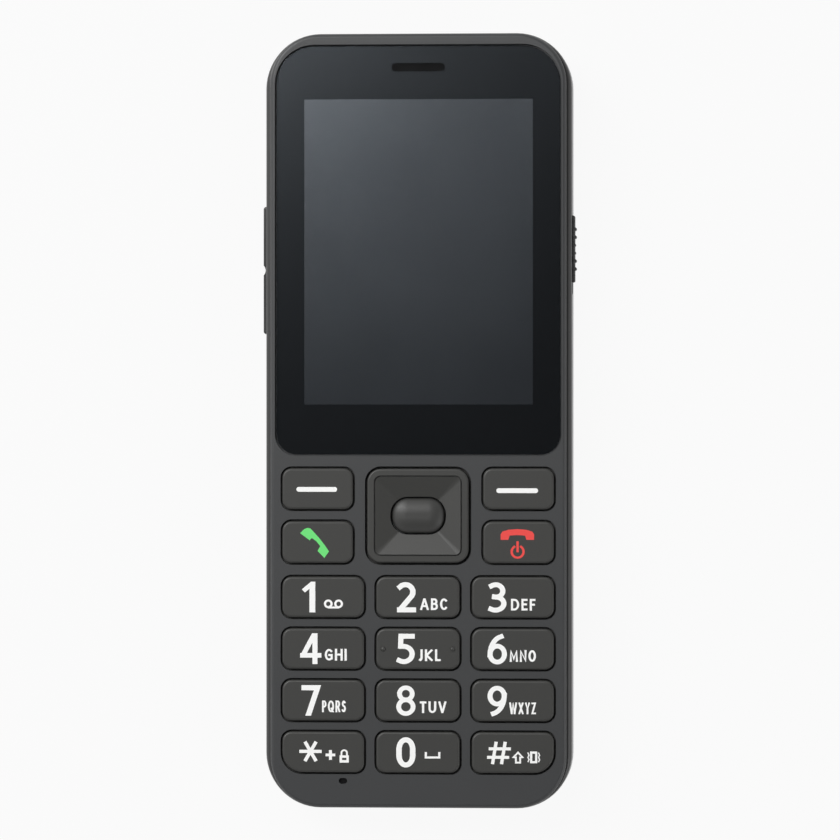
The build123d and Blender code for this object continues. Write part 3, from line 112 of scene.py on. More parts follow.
def two_value(operation: str, swapped: bool = False) -> Callable[["Signal", Any], "Signal"]:
    """Make a method that adds one Math node of two values.

    Args:
        operation: The node's operation.
        swapped: Whether the other value comes first.

    Returns:
        The method.
    """
    def method(self: "Signal", other: Any) -> "Signal":
        """Give the operation's result for this signal and another value."""
        first, second = (other, self) if swapped else (self, other)
        return self.bench.add("ShaderNodeMath", {"operation": operation}, {0: first, 1: second})

    return method


class Signal:
    """A shader socket's value. Arithmetic on it adds Math nodes."""

    __add__ = two_value("ADD")
    __radd__ = two_value("ADD", swapped=True)
    __sub__ = two_value("SUBTRACT")
    __mul__ = two_value("MULTIPLY")
    __truediv__ = two_value("DIVIDE")
    largest = two_value("MAXIMUM")
    smallest = two_value("MINIMUM")
    fold = two_value("PINGPONG")

    def __init__(self, bench: "NodeBench", socket: bpy.types.NodeSocket | None) -> None:
        """Hold the bench that owns the nodes and the socket that gives the value."""
        self.bench = bench
        self.socket = socket

    def wrap(self, step: float) -> "Signal":
        """Give the distance from the nearest whole step, from 0 to half a step."""
        return self.fold(step / 2)

    def ramp(self, low: float, high: float) -> "Signal":
        """Rise smoothly from 0 at low to 1 at high."""
        settings = {"interpolation_type": "SMOOTHSTEP"}
        return self.bench.add(
            "ShaderNodeMapRange", settings, {"Value": self, "From Min": low, "From Max": high}
        )


class NodeBench:
    """Lays out the nodes of one material or world."""

    def __init__(self, owner: bpy.types.ID) -> None:
        """Start from an empty tree on a material or a world."""
        owner.use_nodes = True
        self.tree = owner.node_tree
        self.tree.nodes.clear()

    def add(
        self,
        kind: str,
        settings: dict[str, Any] | None = None,
        inputs: dict[Any, Any] | None = None,
        output: Any = 0,
    ) -> Signal:
        """Add any node, set it up and wire it.

        Args:
            kind: The node's type.
            settings: Its own settings, set first.
            inputs: The values or signals of its sockets, by name or place.
            output: The name or place of the output that is wanted.

        Returns:
            That output.
        """
        node = self.tree.nodes.new(kind)
        for name, value in (settings or {}).items():
            setattr(node, name, value)
        for name, value in (inputs or {}).items():
            if isinstance(value, Signal):
                self.tree.links.new(value.socket, node.inputs[name])
            else:
                node.inputs[name].default_value = value
        return Signal(self, node.outputs[output] if len(node.outputs) else None)

    def place(self, scale: Sequence[float] = (1, 1, 1)) -> Signal:
        """Object coordinates, stretched by a scale on each axis."""
        coordinates = self.add("ShaderNodeTexCoord", output="Object")
        return self.add("ShaderNodeMapping", {}, {"Vector": coordinates, "Scale": tuple(scale)})

    def axes(self) -> tuple[Signal, Signal, Signal]:
        """Object coordinates as three numbers in metres."""
        coordinates = self.add("ShaderNodeTexCoord", output="Object")
        parts = [
            self.add("ShaderNodeSeparateXYZ", {}, {0: coordinates}, output=index)
            for index in range(3)
        ]
        return parts[0], parts[1], parts[2]

    def noise(
        self, size: float, detail: float = 2.0, stretch: Sequence[float] = (1, 1, 1)
    ) -> Signal:
        """Soft noise from 0 to 1.

        Args:
            size: The width of its patches in metres.
            detail: How many finer layers it has.
            stretch: How many times finer it is along each axis.

        Returns:
            The noise.
        """
        place = self.place([axis / size for axis in stretch])
        return self.add("ShaderNodeTexNoise", {}, {"Vector": place, "Scale": 1.0, "Detail": detail})

    def cells(self, size: float) -> Signal:
        """The distance from the middle of cells of a given width in metres."""
        place = self.place([1 / size] * 3)
        return self.add("ShaderNodeTexVoronoi", {}, {"Vector": place, "Scale": 1.0})

    def blend(self, share: Any, first: Any, second: Any) -> Signal:
        """Mix two colours by a share of the second."""
        return self.add(
            "ShaderNodeMix", {"data_type": "RGBA"}, {0: share, 6: first, 7: second}, output=2
        )

    def bump(self, height: Signal, depth: float) -> Signal:
        """Turn a height from 0 to 1 into a bumped normal, for a depth in metres."""
        inputs = {"Strength": 1.0, "Distance": depth, "Height": height}
        return self.add("ShaderNodeBump", {}, inputs)

    def surface(self, inputs: dict[Any, Any]) -> Signal:
        """A Principled shader with the given sockets."""
        return self.add("ShaderNodeBsdfPrincipled", {}, inputs)

    def finish(self, shader: Signal) -> None:
        """Send a shader to the material's output."""
        self.add("ShaderNodeOutputMaterial", {}, {"Surface": shader})


# ------------------------------------------------------------- finishes
MATERIALS: dict[str, bpy.types.Material] = {}


@dataclass(frozen=True)
class Finish:
    """A finish that can be made into a material once, and then shared."""

    name: str

    def build(self, bench: NodeBench) -> None:
        """Lay out the finish's nodes."""
        raise NotImplementedError

    def material(self) -> bpy.types.Material:
        """Give the material, which is made at its first use."""
        if self.name not in MATERIALS:
            MATERIALS[self.name] = bpy.data.materials.new(self.name)
            self.build(NodeBench(MATERIALS[self.name]))
        return MATERIALS[self.name]


@dataclass(frozen=True)
class MouldedPlastic(Finish):
    """Moulded plastic with an etched grain that shows as fine bumps and uneven gloss."""

    colour: str = "3D3E3F"
    shade: str = "363738"
    roughness: float = 0.45
    unevenness: float = 0.1
    grain: float = 0.35 * MM
    depth: float = 0.004 * MM
    specular: float = 0.5
    cloud: float = 14 * MM
    cloud_share: float = 0.55
    speck_share: float = 0.3
    grain_gloss: float = 0.12
    speck_size: float = 0.7
    speck_height: float = 0.4

    def build(self, bench: NodeBench) -> None:
        """Mix two close tones by slow noise, and bump the surface by the grain."""
        cloud = bench.noise(self.cloud, 3.0)
        grain = bench.noise(self.grain, 2.0)
        speck = bench.cells(self.speck_size * self.grain)
        share = cloud * self.cloud_share + speck * self.speck_share
        height = grain * (1 - self.speck_height) + speck * self.speck_height
        gloss = self.roughness + (cloud - 0.5) * self.unevenness + (grain - 0.5) * self.grain_gloss
        bench.finish(bench.surface({
            "Base Color": bench.blend(share, tone(self.colour), tone(self.shade)),
            "Roughness": gloss,
            "Specular IOR Level": self.specular,
            "Normal": bench.bump(height, self.depth),
        }))


@dataclass(frozen=True)
class PrintedInk(Finish):
    """Opaque ink, printed on a key cap."""

    colour: str = "FFFFFE"
    shade: str = "F6F6F4"
    roughness: float = 0.5
    unevenness: float = 0.1
    patch: float = 0.5 * MM
    depth: float = 0.002 * MM

    def build(self, bench: NodeBench) -> None:
        """A faintly uneven film of ink."""
        film = bench.noise(self.patch, 2.0)
        bench.finish(bench.surface({
            "Base Color": bench.blend(film, tone(self.colour), tone(self.shade)),
            "Roughness": self.roughness + film * self.unevenness,
            "Normal": bench.bump(film, self.depth),
        }))


@dataclass(frozen=True)
class CoverGlass(Finish):
    """Clear glass that lets light through and mirrors what is above it."""

    roughness: float = 0.1
    strength: float = 1.0
    tint: str = "D4DEE8"
    smudge: float = 18 * MM
    unevenness: float = 0.02
    index: float = 1.5

    def build(self, bench: NodeBench) -> None:
        """Mix see-through and mirror by how steeply the glass is seen."""
        smudge = bench.noise(self.smudge, 4.0)
        clear = bench.add("ShaderNodeBsdfTransparent")
        mirror = bench.add("ShaderNodeBsdfAnisotropic", {}, {
            "Color": tone(self.tint),
            "Roughness": self.roughness + (smudge - 0.5) * self.unevenness,
        })
        facing = bench.add("ShaderNodeFresnel", {}, {"IOR": self.index})
        bench.finish(bench.add(
            "ShaderNodeMixShader", {}, {0: facing * self.strength, 1: clear, 2: mirror}
        ))


@dataclass(frozen=True)
class PlainCoat(Finish):
    """A painted, printed, coated or plated surface with slow and fine variation."""

    colour: str = "202022"
    shade: str = "151517"
    roughness: float = 0.5
    metallic: float = 0.0
    patch: float = 3 * MM
    fine: float = 0.2 * MM
    depth: float = 0.003 * MM
    stretch: tuple[float, float, float] = (1, 1, 1)
    specular: float = 0.5
    patch_gloss: float = 0.12
    fine_gloss: float = 0.15

    def build(self, bench: NodeBench) -> None:
        """Mix two close tones, and bump and dull the surface by finer noise."""
        patch = bench.noise(self.patch, 3.0, self.stretch)
        fine = bench.noise(self.fine, 2.0, self.stretch)
        unevenness = (patch - 0.5) * self.patch_gloss
        bench.finish(bench.surface({
            "Base Color": bench.blend(patch, tone(self.colour), tone(self.shade)),
            "Metallic": self.metallic,
            "Roughness": self.roughness + unevenness + (fine - 0.5) * self.fine_gloss,
            "Specular IOR Level": self.specular,
            "Normal": bench.bump(fine, self.depth),
        }))


@dataclass(frozen=True)
class LiquidCrystal(Finish):
    """A dark liquid crystal panel under a matt polariser, with its rows of pixels."""

    colour: str = "0D0F12"
    shade: str = "0A0B0D"
    pixel: float = 0.18 * MM
    roughness: float = 0.205
    unevenness: float = 0.06
    cloud: float = 30 * MM
    line_share: float = 0.25
    grain: float = 0.08 * MM
    depth: float = 0.0003 * MM
    sheen: str = "D8E2EC"

    def build(self, bench: NodeBench) -> None:
        """Darken the lines between pixels, and dull the polariser a little unevenly."""
        x, y, _ = bench.axes()
        lines = x.wrap(self.pixel).smallest(y.wrap(self.pixel)) / (self.pixel / 2)
        cloud = bench.noise(self.cloud, 2.0)
        share = lines.ramp(0.0, self.line_share)
        bench.finish(bench.surface({
            "Base Color": bench.blend(share, tone(self.shade), tone(self.colour)),
            "Roughness": self.roughness + (cloud - 0.5) * self.unevenness,
            "Specular IOR Level": 1.0,
            "Specular Tint": tone(self.sheen),
            "Normal": bench.bump(bench.noise(self.grain), self.depth),
        }))


FRONT_PLASTIC = MouldedPlastic("front_plastic", roughness=0.4, specular=0.42)
CAP_PLASTIC = MouldedPlastic(
    "cap_plastic", colour="3B3B39", shade="343432", roughness=0.42, specular=0.4
)
NAV_PLASTIC = MouldedPlastic(
    "nav_plastic", colour="3C3C3A", shade="353533", roughness=0.42, specular=0.4
)
OK_PLASTIC = MouldedPlastic("ok_plastic", colour="373735", shade="2F2F2E", roughness=0.46)
FRAME_PLASTIC = MouldedPlastic(
    "frame_plastic", colour="3A3A3A", shade="333333", roughness=0.3, unevenness=0.04,
    depth=0.0008 * MM,
)
BACK_PLASTIC = MouldedPlastic("back_plastic", colour="3B3C3D", shade="333435", roughness=0.5)
SIDE_PLASTIC = MouldedPlastic("side_plastic", colour="282828", shade="222222", roughness=0.42)
WHITE_INK = PrintedInk("white_ink")
GREEN_INK = PrintedInk("green_ink", colour="6EE57B", shade="66DC73")
RED_INK = PrintedInk("red_ink", colour="F04843", shade="E6423D")
LENS_GLASS = CoverGlass("cover_glass", roughness=0.185, strength=0.52)
WINDOW_GLASS = CoverGlass("clear_window", roughness=0.12)
LENS_PRINT = PlainCoat(
    "lens_print", colour="0E0F10", shade="0B0C0D", roughness=0.6, specular=0.0
)
PANEL = LiquidCrystal("liquid_crystal")
TAPE = PlainCoat("black_tape", colour="1A1A1B", shade="121213", roughness=0.7)
# Black cloth, darkened below the cloth's own black as painted shade of the deep slots that it sits
# in.
SHADE_DARKENED_MESH_CLOTH = PlainCoat("mesh_cloth_painted_shade", colour="0B0B0C", shade="050506", roughness=0.8, specular=0.2)
FOAM = PlainCoat("cell_foam", colour="202021", shade="141415", roughness=0.9, depth=0.03 * MM)
SILICONE = PlainCoat("grey_silicone", colour="8C8F91", shade="7F8284", roughness=0.55)
STEEL = PlainCoat(
    "rolled_steel", colour="C6C8C9", shade="AEB1B3", roughness=0.3, metallic=1.0,
    stretch=(1, 12, 1),
)
DOME_STEEL = PlainCoat(
    "dome_sheet_steel", colour="D4D3CE", shade="BEBDB8", roughness=0.28, metallic=1.0
)
TUNGSTEN = PlainCoat(
    "pressed_tungsten", colour="77797B", shade="66686A", roughness=0.45, metallic=1.0
)
BOARD = PlainCoat("solder_mask", colour="1D4A33", shade="173C2A", roughness=0.35)
CHIP = PlainCoat("moulded_epoxy", colour="2A2A2B", shade="212122", roughness=0.6)
FLEX = PlainCoat("amber_film", colour="B4752A", shade="9D6423", roughness=0.3)
LED = PlainCoat("diffuse_resin", colour="EFEBD8", shade="E2DDC6", roughness=0.25)
RING_METAL = PlainCoat(
    "dark_anodised_ring", colour="5A5B5E", shade="4A4B4E", roughness=0.25, metallic=1.0
)
COATED_LENS = PlainCoat(
    "coated_lens", colour="0C1222", shade="160C1E", roughness=0.06, depth=0.0, specular=1.0
)
WRAP = PlainCoat("battery_film", colour="2B2D30", shade="232528", roughness=0.4)


# ------------------------------------------------------------- modelling
class Part(Enum):
    """What is picked in edit mode."""

    POINTS = "VERT"
    FACES = "FACE"


def even(radius: float) -> dict[Point, float]:
    """The same radius for all four corners, by the signs of their X and Y."""
    return {(x, y): radius for x in (-1, 1) for y in (-1, 1)}


def deselect() -> None:
    """Let go of every object."""
    for item in bpy.context.selected_objects:
        item.select_set(False)


def hold(item: bpy.types.Object) -> None:
    """Select one object alone and make it the active one."""
    deselect()
    item.select_set(True)
    bpy.context.view_layer.objects.active = item


class Workpiece:
    """A mesh that is shaped by hand tools, one at a time."""

    def __init__(self, item: bpy.types.Object, name: str) -> None:
        """Take up an object and name it."""
        self.item = item
        item.name = name
        item.data.name = name

    @classmethod
    def settled(cls, name: str) -> "Workpiece":
        """Take up the newest object, with its place and scale moved into its mesh."""
        bpy.ops.object.transform_apply(location=True, rotation=True, scale=True)
        return cls(bpy.context.active_object, name)

    @classmethod
    def plate(cls, name: str, middle: Vector, width: float, height: float) -> "Workpiece":
        """Lay a flat rectangle.

        Args:
            name: The piece's name.
            middle: Its centre.
            width: Its size along X.
            height: Its size along Y.

        Returns:
            The piece.
        """
        deselect()
        bpy.ops.mesh.primitive_plane_add(size=1, location=middle)
        bpy.context.active_object.scale = (width, height, 1)
        return cls.settled(name)

    @classmethod
    def block(
        cls, name: str, middle: Vector, size: Sequence[float], height: float,
        radii: dict[Point, float] | None = None, steps: int = 1,
    ) -> "Workpiece":
        """Set an upright block down.

        Args:
            name: The piece's name.
            middle: The centre of its underside.
            size: Its sizes along X and Y.
            height: Its size along Z.
            radii: The radii of its upright corners, if they are round.
            steps: How many edges each round has.

        Returns:
            The piece.
        """
        piece = cls.plate(name, middle, size[0], size[1])
        piece.edit()
        piece.pick_all()
        if radii:
            piece.round_corners(radii, steps)
        piece.close(height)
        return piece

    @classmethod
    def disc(cls, name: str, middle: Vector, radius: float, sides: int) -> "Workpiece":
        """Lay a flat disc of a given number of sides."""
        deselect()
        bpy.ops.mesh.primitive_circle_add(
            vertices=sides, radius=radius, fill_type="NGON", location=middle
        )
        return cls.settled(name)

    @classmethod
    def ball(cls, name: str, middle: Vector, radius: float) -> "Workpiece":
        """Set a ball down."""
        deselect()
        bpy.ops.mesh.primitive_uv_sphere_add(
            segments=24, ring_count=12, radius=radius, location=middle
        )
        return cls.settled(name)

    @classmethod
    def copy_of(cls, node: str, name: str) -> "Workpiece":
        """Copy a frame node's mesh, with its loose triangles joined up."""
        deselect()
        item = frame["nodes"][node].copy()
        item.data = item.data.copy()
        item.parent = None
        for key in list(item.keys()):
            del item[key]
        bpy.context.scene.collection.objects.link(item)
        piece = cls(item, name)
        piece.edit()
        piece.pick_all()
        bpy.ops.mesh.remove_doubles(threshold=WELD)
        bpy.ops.mesh.dissolve_limited(angle_limit=FLAT_ANGLE)
        piece.done()
        return piece

    def edit(self) -> None:
        """Go into edit mode."""
        hold(self.item)
        bpy.ops.object.mode_set(mode="EDIT")

    def done(self) -> None:
        """Leave edit mode."""
        bpy.ops.object.mode_set(mode="OBJECT")

    @staticmethod
    def pick_all() -> None:
        """Select everything."""
        bpy.ops.mesh.select_all(action="SELECT")

    def pick(self, part: Part, test: Callable[[Any], bool]) -> None:
        """Select the points or faces that pass a test, and nothing else."""
        bpy.ops.mesh.select_mode(type=part.value)
        bpy.ops.mesh.select_all(action="DESELECT")
        shape = bmesh.from_edit_mesh(self.item.data)
        elements = shape.verts if part is Part.POINTS else shape.faces
        for element in [element for element in elements if test(element)]:
            element.select_set(True)
        shape.select_flush_mode()
        bmesh.update_edit_mesh(self.item.data)

    def pick_flat(self, level: float, upward: bool = True) -> None:
        """Select the faces that lie flat at a level and look up or down."""
        sign = 1 if upward else -1
        self.pick(
            Part.FACES,
            lambda face: sign * face.normal.z > UPRIGHT
            and abs(face.calc_center_median().z - level) < LEVEL_SLACK,
        )

    def pick_border_of_chosen(self) -> None:
        """Select the faces that touch the chosen ones, and let go of those."""
        shape = bmesh.from_edit_mesh(self.item.data)
        inner = [face for face in shape.faces if face.select]
        bpy.ops.mesh.select_more(use_face_step=False)
        for face in inner:
            face.select_set(False)
        shape.select_flush_mode()
        bmesh.update_edit_mesh(self.item.data)

    def round_corners(self, radii: dict[Point, float], steps: int) -> None:
        """Round the corners of a flat rectangle.

        Args:
            radii: The radius of each corner, by the signs of its X and Y.
            steps: How many edges each round has.
        """
        box = [Vector(corner) for corner in self.item.bound_box]
        for (side_x, side_y), radius in radii.items():
            corner_x = max(point.x * side_x for point in box)
            corner_y = max(point.y * side_y for point in box)
            self.pick(
                Part.POINTS,
                lambda vert: abs(vert.co.x * side_x - corner_x) < CORNER_SLACK
                and abs(vert.co.y * side_y - corner_y) < CORNER_SLACK,
            )
            bpy.ops.mesh.bevel(offset=radius, segments=steps, affect="VERTICES", profile=0.5)
        self.pick(Part.FACES, lambda face: True)

    def raise_by(self, height: float) -> None:
        """Extrude what is selected straight up."""
        bpy.ops.mesh.extrude_region_move(TRANSFORM_OT_translate={"value": (0, 0, height)})

    def inset(self, width: float, depth: float = 0.0) -> None:
        """Draw the selected faces in from their border."""
        bpy.ops.mesh.inset(thickness=width, depth=depth, use_even_offset=True)

    def crown(self, run: float, rise: float, steps: int) -> None:
        """Dome the selected face outwards.

        Args:
            run: How far in from the border the dome reaches.
            rise: How far it rises.
            steps: How many rings of faces it has.
        """
        turns = [math.pi / 2 * step / steps for step in range(steps + 1)]
        for before, after in zip(turns, turns[1:]):
            self.inset(
                run * (math.cos(before) - math.cos(after)),
                rise * (math.sin(after) - math.sin(before)),
            )

    def bevel_rim(self, level: float, width: float, steps: int, upward: bool = True) -> None:
        """Round the border of the face that lies at a level."""
        self.pick_flat(level, upward)
        bpy.ops.mesh.region_to_loop()
        bpy.ops.mesh.bevel(
            offset=width, segments=steps, affect="EDGES", profile=0.5, clamp_overlap=False
        )

    def fix_normals(self) -> None:
        """Close doubles and turn every face outwards."""
        self.pick(Part.FACES, lambda face: True)
        bpy.ops.mesh.remove_doubles(threshold=WELD)
        bpy.ops.mesh.normals_make_consistent(inside=False)

    def close(self, height: float) -> None:
        """Raise what is selected into a closed block, and leave edit mode."""
        self.raise_by(height)
        self.fix_normals()
        self.done()

    def cut(self, tool: "Workpiece", operation: str = "DIFFERENCE") -> None:
        """Cut another piece away from this one, or weld it on with UNION, and use it up."""
        hold(self.item)
        modifier = self.item.modifiers.new("cut", "BOOLEAN")
        modifier.operation = operation
        modifier.solver = "EXACT"
        modifier.object = tool.item
        bpy.ops.object.modifier_apply(modifier=modifier.name)
        tool.discard()

    def discard(self) -> None:
        """Throw the piece away."""
        mesh = self.item.data
        bpy.data.objects.remove(self.item)
        bpy.data.meshes.remove(mesh)

    def join(self, others: Sequence["Workpiece"]) -> None:
        """Join other pieces to this one."""
        hold(self.item)
        for other in others:
            other.item.select_set(True)
        bpy.ops.object.join()

    def smooth(self, angle: float = SMOOTH_ANGLE) -> None:
        """Shade it smooth, apart from edges sharper than an angle."""
        hold(self.item)
        bpy.ops.object.shade_smooth_by_angle(angle=angle)
        modifier = self.item.modifiers.new("even", "WEIGHTED_NORMAL")
        modifier.keep_sharp = True
        bpy.ops.object.modifier_apply(modifier=modifier.name)

    def move(self, shift: Vector) -> None:
        """Move the mesh itself."""
        self.item.data.transform(Matrix.Translation(shift))

    def duplicate(self, name: str) -> "Workpiece":
        """Copy the piece with a mesh of its own."""
        item = self.item.copy()
        item.data = item.data.copy()
        bpy.context.scene.collection.objects.link(item)
        return Workpiece(item, name)


def dress(item: bpy.types.Object, finish: Finish) -> None:
    """Give an object one finish all over."""
    item.data.materials.clear()
    item.data.materials.append(finish.material())


def mount(
    piece: Workpiece, body: str, finish: Finish, replaced: Sequence[str] = ()
) -> None:
    """Finish a piece and fix it to its body.

    Args:
        piece: The piece.
        body: The body that carries it.
        finish: Its finish.
        replaced: The frame nodes that it stands for.
    """
    dress(piece.item, finish)
    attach(piece.item, body)
    if replaced:
        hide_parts(*replaced)
    log.info("%s rides on %s", piece.item.name, body)


def middle_of(node: str) -> Vector:
    """The centre of a frame node's box."""
    low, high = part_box(node)
    return (low + high) / 2


def extent(node: str) -> Vector:
    """The size of a frame node's box."""
    low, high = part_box(node)
    return high - low


# ------------------------------------------------------------- keypad
@dataclass
class Keypad:
    """The sixteen caps round the navigation key; their signs are printed by KeySigns."""

    lip: float = 0.4 * MM
    gap: float = 0.35 * MM
    flange: float = 0.6 * MM
    corner: float = 2.1 * MM
    big_corner: float = 4.15 * MM
    edge: float = 0.42 * MM
    round_steps: int = 10
    edge_steps: int = 4
    nib_radius: float = 0.5 * MM
    nib_sunk: float = 0.15 * MM
    nib_reach: float = 6.55 * MM
    moulds: dict[tuple, Workpiece] = field(default_factory=dict)

    names: tuple[str, ...] = (
        "soft_key_left", "soft_key_right", "call_key", "end_key",
        "key_1", "key_2", "key_3", "key_4", "key_5", "key_6", "key_7", "key_8", "key_9",
        "key_star", "key_0", "key_hash",
    )

    def build(self) -> None:
        """Make every cap."""
        for name in self.names:
            self.add_cap(name)
        for mould in self.moulds.values():
            mould.discard()

    def top(self) -> float:
        """The level of the caps' tops."""
        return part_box("key_1")[1].z

    def add_cap(self, name: str) -> None:
        """Copy the right mould to a key's place and mount it."""
        big_side = {"key_star": -1, "key_hash": 1}.get(name, 0)
        size = extent(name)
        key = (round(size.x, 6), round(size.y, 6), big_side)
        if key not in self.moulds:
            self.moulds[key] = self.make_cap(size, big_side)
        cap = self.moulds[key].duplicate(f"{name}_cap")
        low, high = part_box(name)
        cap.move(Vector(((low.x + high.x) / 2, (low.y + high.y) / 2, low.z)))
        if name == "key_5":
            cap.join([self.make_nib(side) for side in (-1, 1)])
        mount(cap, name, CAP_PLASTIC, [name])

    def make_cap(self, size: Vector, big_side: int) -> Workpiece:
        """Model one cap about the origin: a flange, a body and a rounded edge.

        Args:
            size: The outer size of the node that it stands for.
            big_side: The side of its large lower corner, or 0.

        Returns:
            The cap, with its underside at level 0.
        """
        height = self.top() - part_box("key_1")[0].z
        cap = Workpiece.plate("cap_mould", Vector(), size.x, size.y)
        cap.edit()
        radii = {
            (x, y): (self.big_corner if y < 0 and x == big_side else self.corner) + self.lip
            for x in (-1, 1) for y in (-1, 1)
        }
        cap.round_corners(radii, self.round_steps)
        cap.raise_by(self.flange)
        cap.pick_flat(self.flange)
        cap.inset(self.lip + self.gap)
        cap.raise_by(height - self.flange)
        cap.fix_normals()
        cap.bevel_rim(height, self.edge, self.edge_steps)
        cap.done()
        cap.smooth()
        return cap

    def make_nib(self, side: int) -> Workpiece:
        """Model one of the two raised dots on the middle key."""
        middle = middle_of("key_5")
        spot = Vector((middle.x + side * self.nib_reach, middle.y, self.top() - self.nib_sunk))
        nib = Workpiece.ball("nib", spot, self.nib_radius)
        nib.edit()
        nib.pick_all()
        bpy.ops.mesh.bisect(plane_co=spot, plane_no=(0, 0, 1), clear_inner=True)
        nib.done()
        nib.smooth()
        return nib


# ------------------------------------------------------------- printed signs
def arc(middle: Point, radii: Point, start: float, end: float, step: float = 12) -> list[Point]:
    """Points along a part of an ellipse.

    Args:
        middle: Its centre.
        radii: Its half width and half height.
        start: The first angle in degrees, anticlockwise from the right.
        end: The last angle.
        step: The angle between points.

    Returns:
        The points, both ends included.
    """
    count = max(2, round(abs(end - start) / step))
    angles = [math.radians(start + (end - start) * turn / count) for turn in range(count + 1)]
    return [
        (middle[0] + radii[0] * math.cos(angle), middle[1] + radii[1] * math.sin(angle))
        for angle in angles
    ]


def ring(middle: Point, radii: Point) -> list[Point]:
    """Points round a whole ellipse, closed by the last one."""
    return arc(middle, radii, 0, 360)


@dataclass(frozen=True)
class Glyph:
    """A letter or number as pen lines in a box from 0 to 1 each way.

    The box of the lines is the one that the middle of the pen reaches, so the
    ink reaches half a pen further on every side. Areas fill the ink's own box.
    """

    width: float
    lines: tuple[list[Point], ...]
    pen: float = 1.0
    areas: tuple[list[Point], ...] = ()


GLYPHS: dict[str, Glyph] = {
    "A": Glyph(0.98, ([(0, 0), (0.45, 1), (0.55, 1), (1, 0)], [(0.2, 0.3), (0.8, 0.3)])),
    "B": Glyph(0.80, (
        [(0, 0), (0, 1), (0.55, 1), *arc((0.55, 0.77), (0.35, 0.23), 90, -90), (0, 0.54)],
        [(0.5, 0.54), *arc((0.58, 0.27), (0.42, 0.27), 90, -90), (0, 0)],
    )),
    "C": Glyph(0.82, ([*arc((0.58, 0.5), (0.58, 0.5), 50, 310)],)),
    "D": Glyph(0.92, ([(0, 0), (0, 1), (0.4, 1), *arc((0.4, 0.5), (0.6, 0.5), 90, -90), (0, 0)],)),
    "E": Glyph(0.68, ([(1, 1), (0, 1), (0, 0), (1, 0)], [(0, 0.53), (0.88, 0.53)])),
    "F": Glyph(0.64, ([(1, 1), (0, 1), (0, 0)], [(0, 0.5), (0.85, 0.5)])),
    "G": Glyph(0.92, (
        [*arc((0.55, 0.5), (0.55, 0.5), 50, 300), (1, 0.1), (1, 0.47), (0.6, 0.47)],
    )),
    "H": Glyph(0.90, ([(0, 0), (0, 1)], [(1, 0), (1, 1)], [(0, 0.52), (1, 0.52)])),
    "I": Glyph(0.18, ([(0.5, 0), (0.5, 1)],)),
    "J": Glyph(0.48, ([(1, 1), (1, 0.3), *arc((0.45, 0.3), (0.55, 0.3), 0, -110)],)),
    "K": Glyph(0.86, ([(0, 0), (0, 1)], [(0.95, 1), (0.08, 0.5), (1, 0)])),
    "L": Glyph(0.62, ([(0, 1), (0, 0), (1, 0)],)),
    "M": Glyph(1.14, ([(0, 0), (0.04, 1), (0.5, 0.2), (0.96, 1), (1, 0)],)),
    "N": Glyph(0.94, ([(0, 0), (0, 1), (1, 0), (1, 1)],)),
    "O": Glyph(1.04, (ring((0.5, 0.5), (0.5, 0.5)),)),
    "P": Glyph(0.76, (
        [(0, 0), (0, 1), (0.5, 1), *arc((0.5, 0.73), (0.5, 0.27), 90, -90), (0, 0.46)],
    )),
    "Q": Glyph(1.04, (ring((0.5, 0.5), (0.5, 0.5)), [(0.6, 0.28), (1.02, -0.1)])),
    "R": Glyph(0.82, (
        [(0, 0), (0, 1), (0.5, 1), *arc((0.5, 0.74), (0.42, 0.26), 90, -90), (0, 0.48)],
        [(0.5, 0.48), (1, 0)],
    )),
    "S": Glyph(0.70, ([
        *arc((0.5, 0.76), (0.45, 0.24), 35, 250), *arc((0.45, 0.27), (0.55, 0.27), 70, -145),
    ],)),
    "T": Glyph(0.76, ([(0, 1), (1, 1)], [(0.5, 1), (0.5, 0)])),
    "U": Glyph(0.90, ([(0, 1), (0, 0.36), *arc((0.5, 0.36), (0.5, 0.36), 180, 360), (1, 1)],)),
    "V": Glyph(0.92, ([(0, 1), (0.46, 0), (0.54, 0), (1, 1)],)),
    "W": Glyph(1.34, ([(0, 1), (0.24, 0), (0.28, 0), (0.5, 1), (0.72, 0), (0.76, 0), (1, 1)],)),
    "X": Glyph(0.88, ([(0, 1), (1, 0)], [(0, 0), (1, 1)])),
    "Y": Glyph(0.86, ([(0, 1), (0.5, 0.45), (1, 1)], [(0.5, 0.5), (0.5, 0)])),
    "Z": Glyph(0.78, ([(0, 1), (1, 1), (0, 0), (1, 0)],)),
    "0": Glyph(0.63, ([
        *arc((0.5, 0.62), (0.5, 0.38), 0, 180), *arc((0.5, 0.38), (0.5, 0.38), 180, 360), (1, 0.62),
    ],)),
    "1": Glyph(0.44, (), areas=([
        (1, 1), (1, 0), (0.566, 0), (0.566, 0.768), (0.221, 0.646), (0, 0.748), (0.69, 1),
    ],)),
    "2": Glyph(0.62, (
        [*arc((0.42, 0.71), (0.55, 0.29), 135, -32), (0.1, 0.06)],
        [(0, 0), (1, 0)],
    )),
    "3": Glyph(0.60, (
        [*arc((0.38, 0.755), (0.54, 0.245), 125, -90), (0.3, 0.52)],
        [(0.3, 0.52), *arc((0.36, 0.26), (0.64, 0.26), 90, -122)],
    ), 0.96),
    "4": Glyph(0.69, (
        [(0.76, 0), (0.76, 1)], [(0, 0.24), (1, 0.24)], [(0.05, 0.28), (0.68, 1.02)],
    ), 0.92),
    "5": Glyph(0.60, (
        [(1, 1), (0.14, 1), (0.12, 0.62)],
        [(0.2, 0.6), *arc((0.36, 0.3), (0.64, 0.3), 88, -122)],
    ), 0.96),
    "7": Glyph(0.61, ([(0, 1), (1, 1), (0.3, -0.1)],)),
    "8": Glyph(0.63, (ring((0.5, 0.765), (0.44, 0.235)), ring((0.5, 0.265), (0.5, 0.265))), 0.88),
    "9": Glyph(0.63, (
        ring((0.5, 0.69), (0.5, 0.31)), arc((0.08, 0.72), (0.92, 0.72), 0, -80),
    ), 0.92),
}
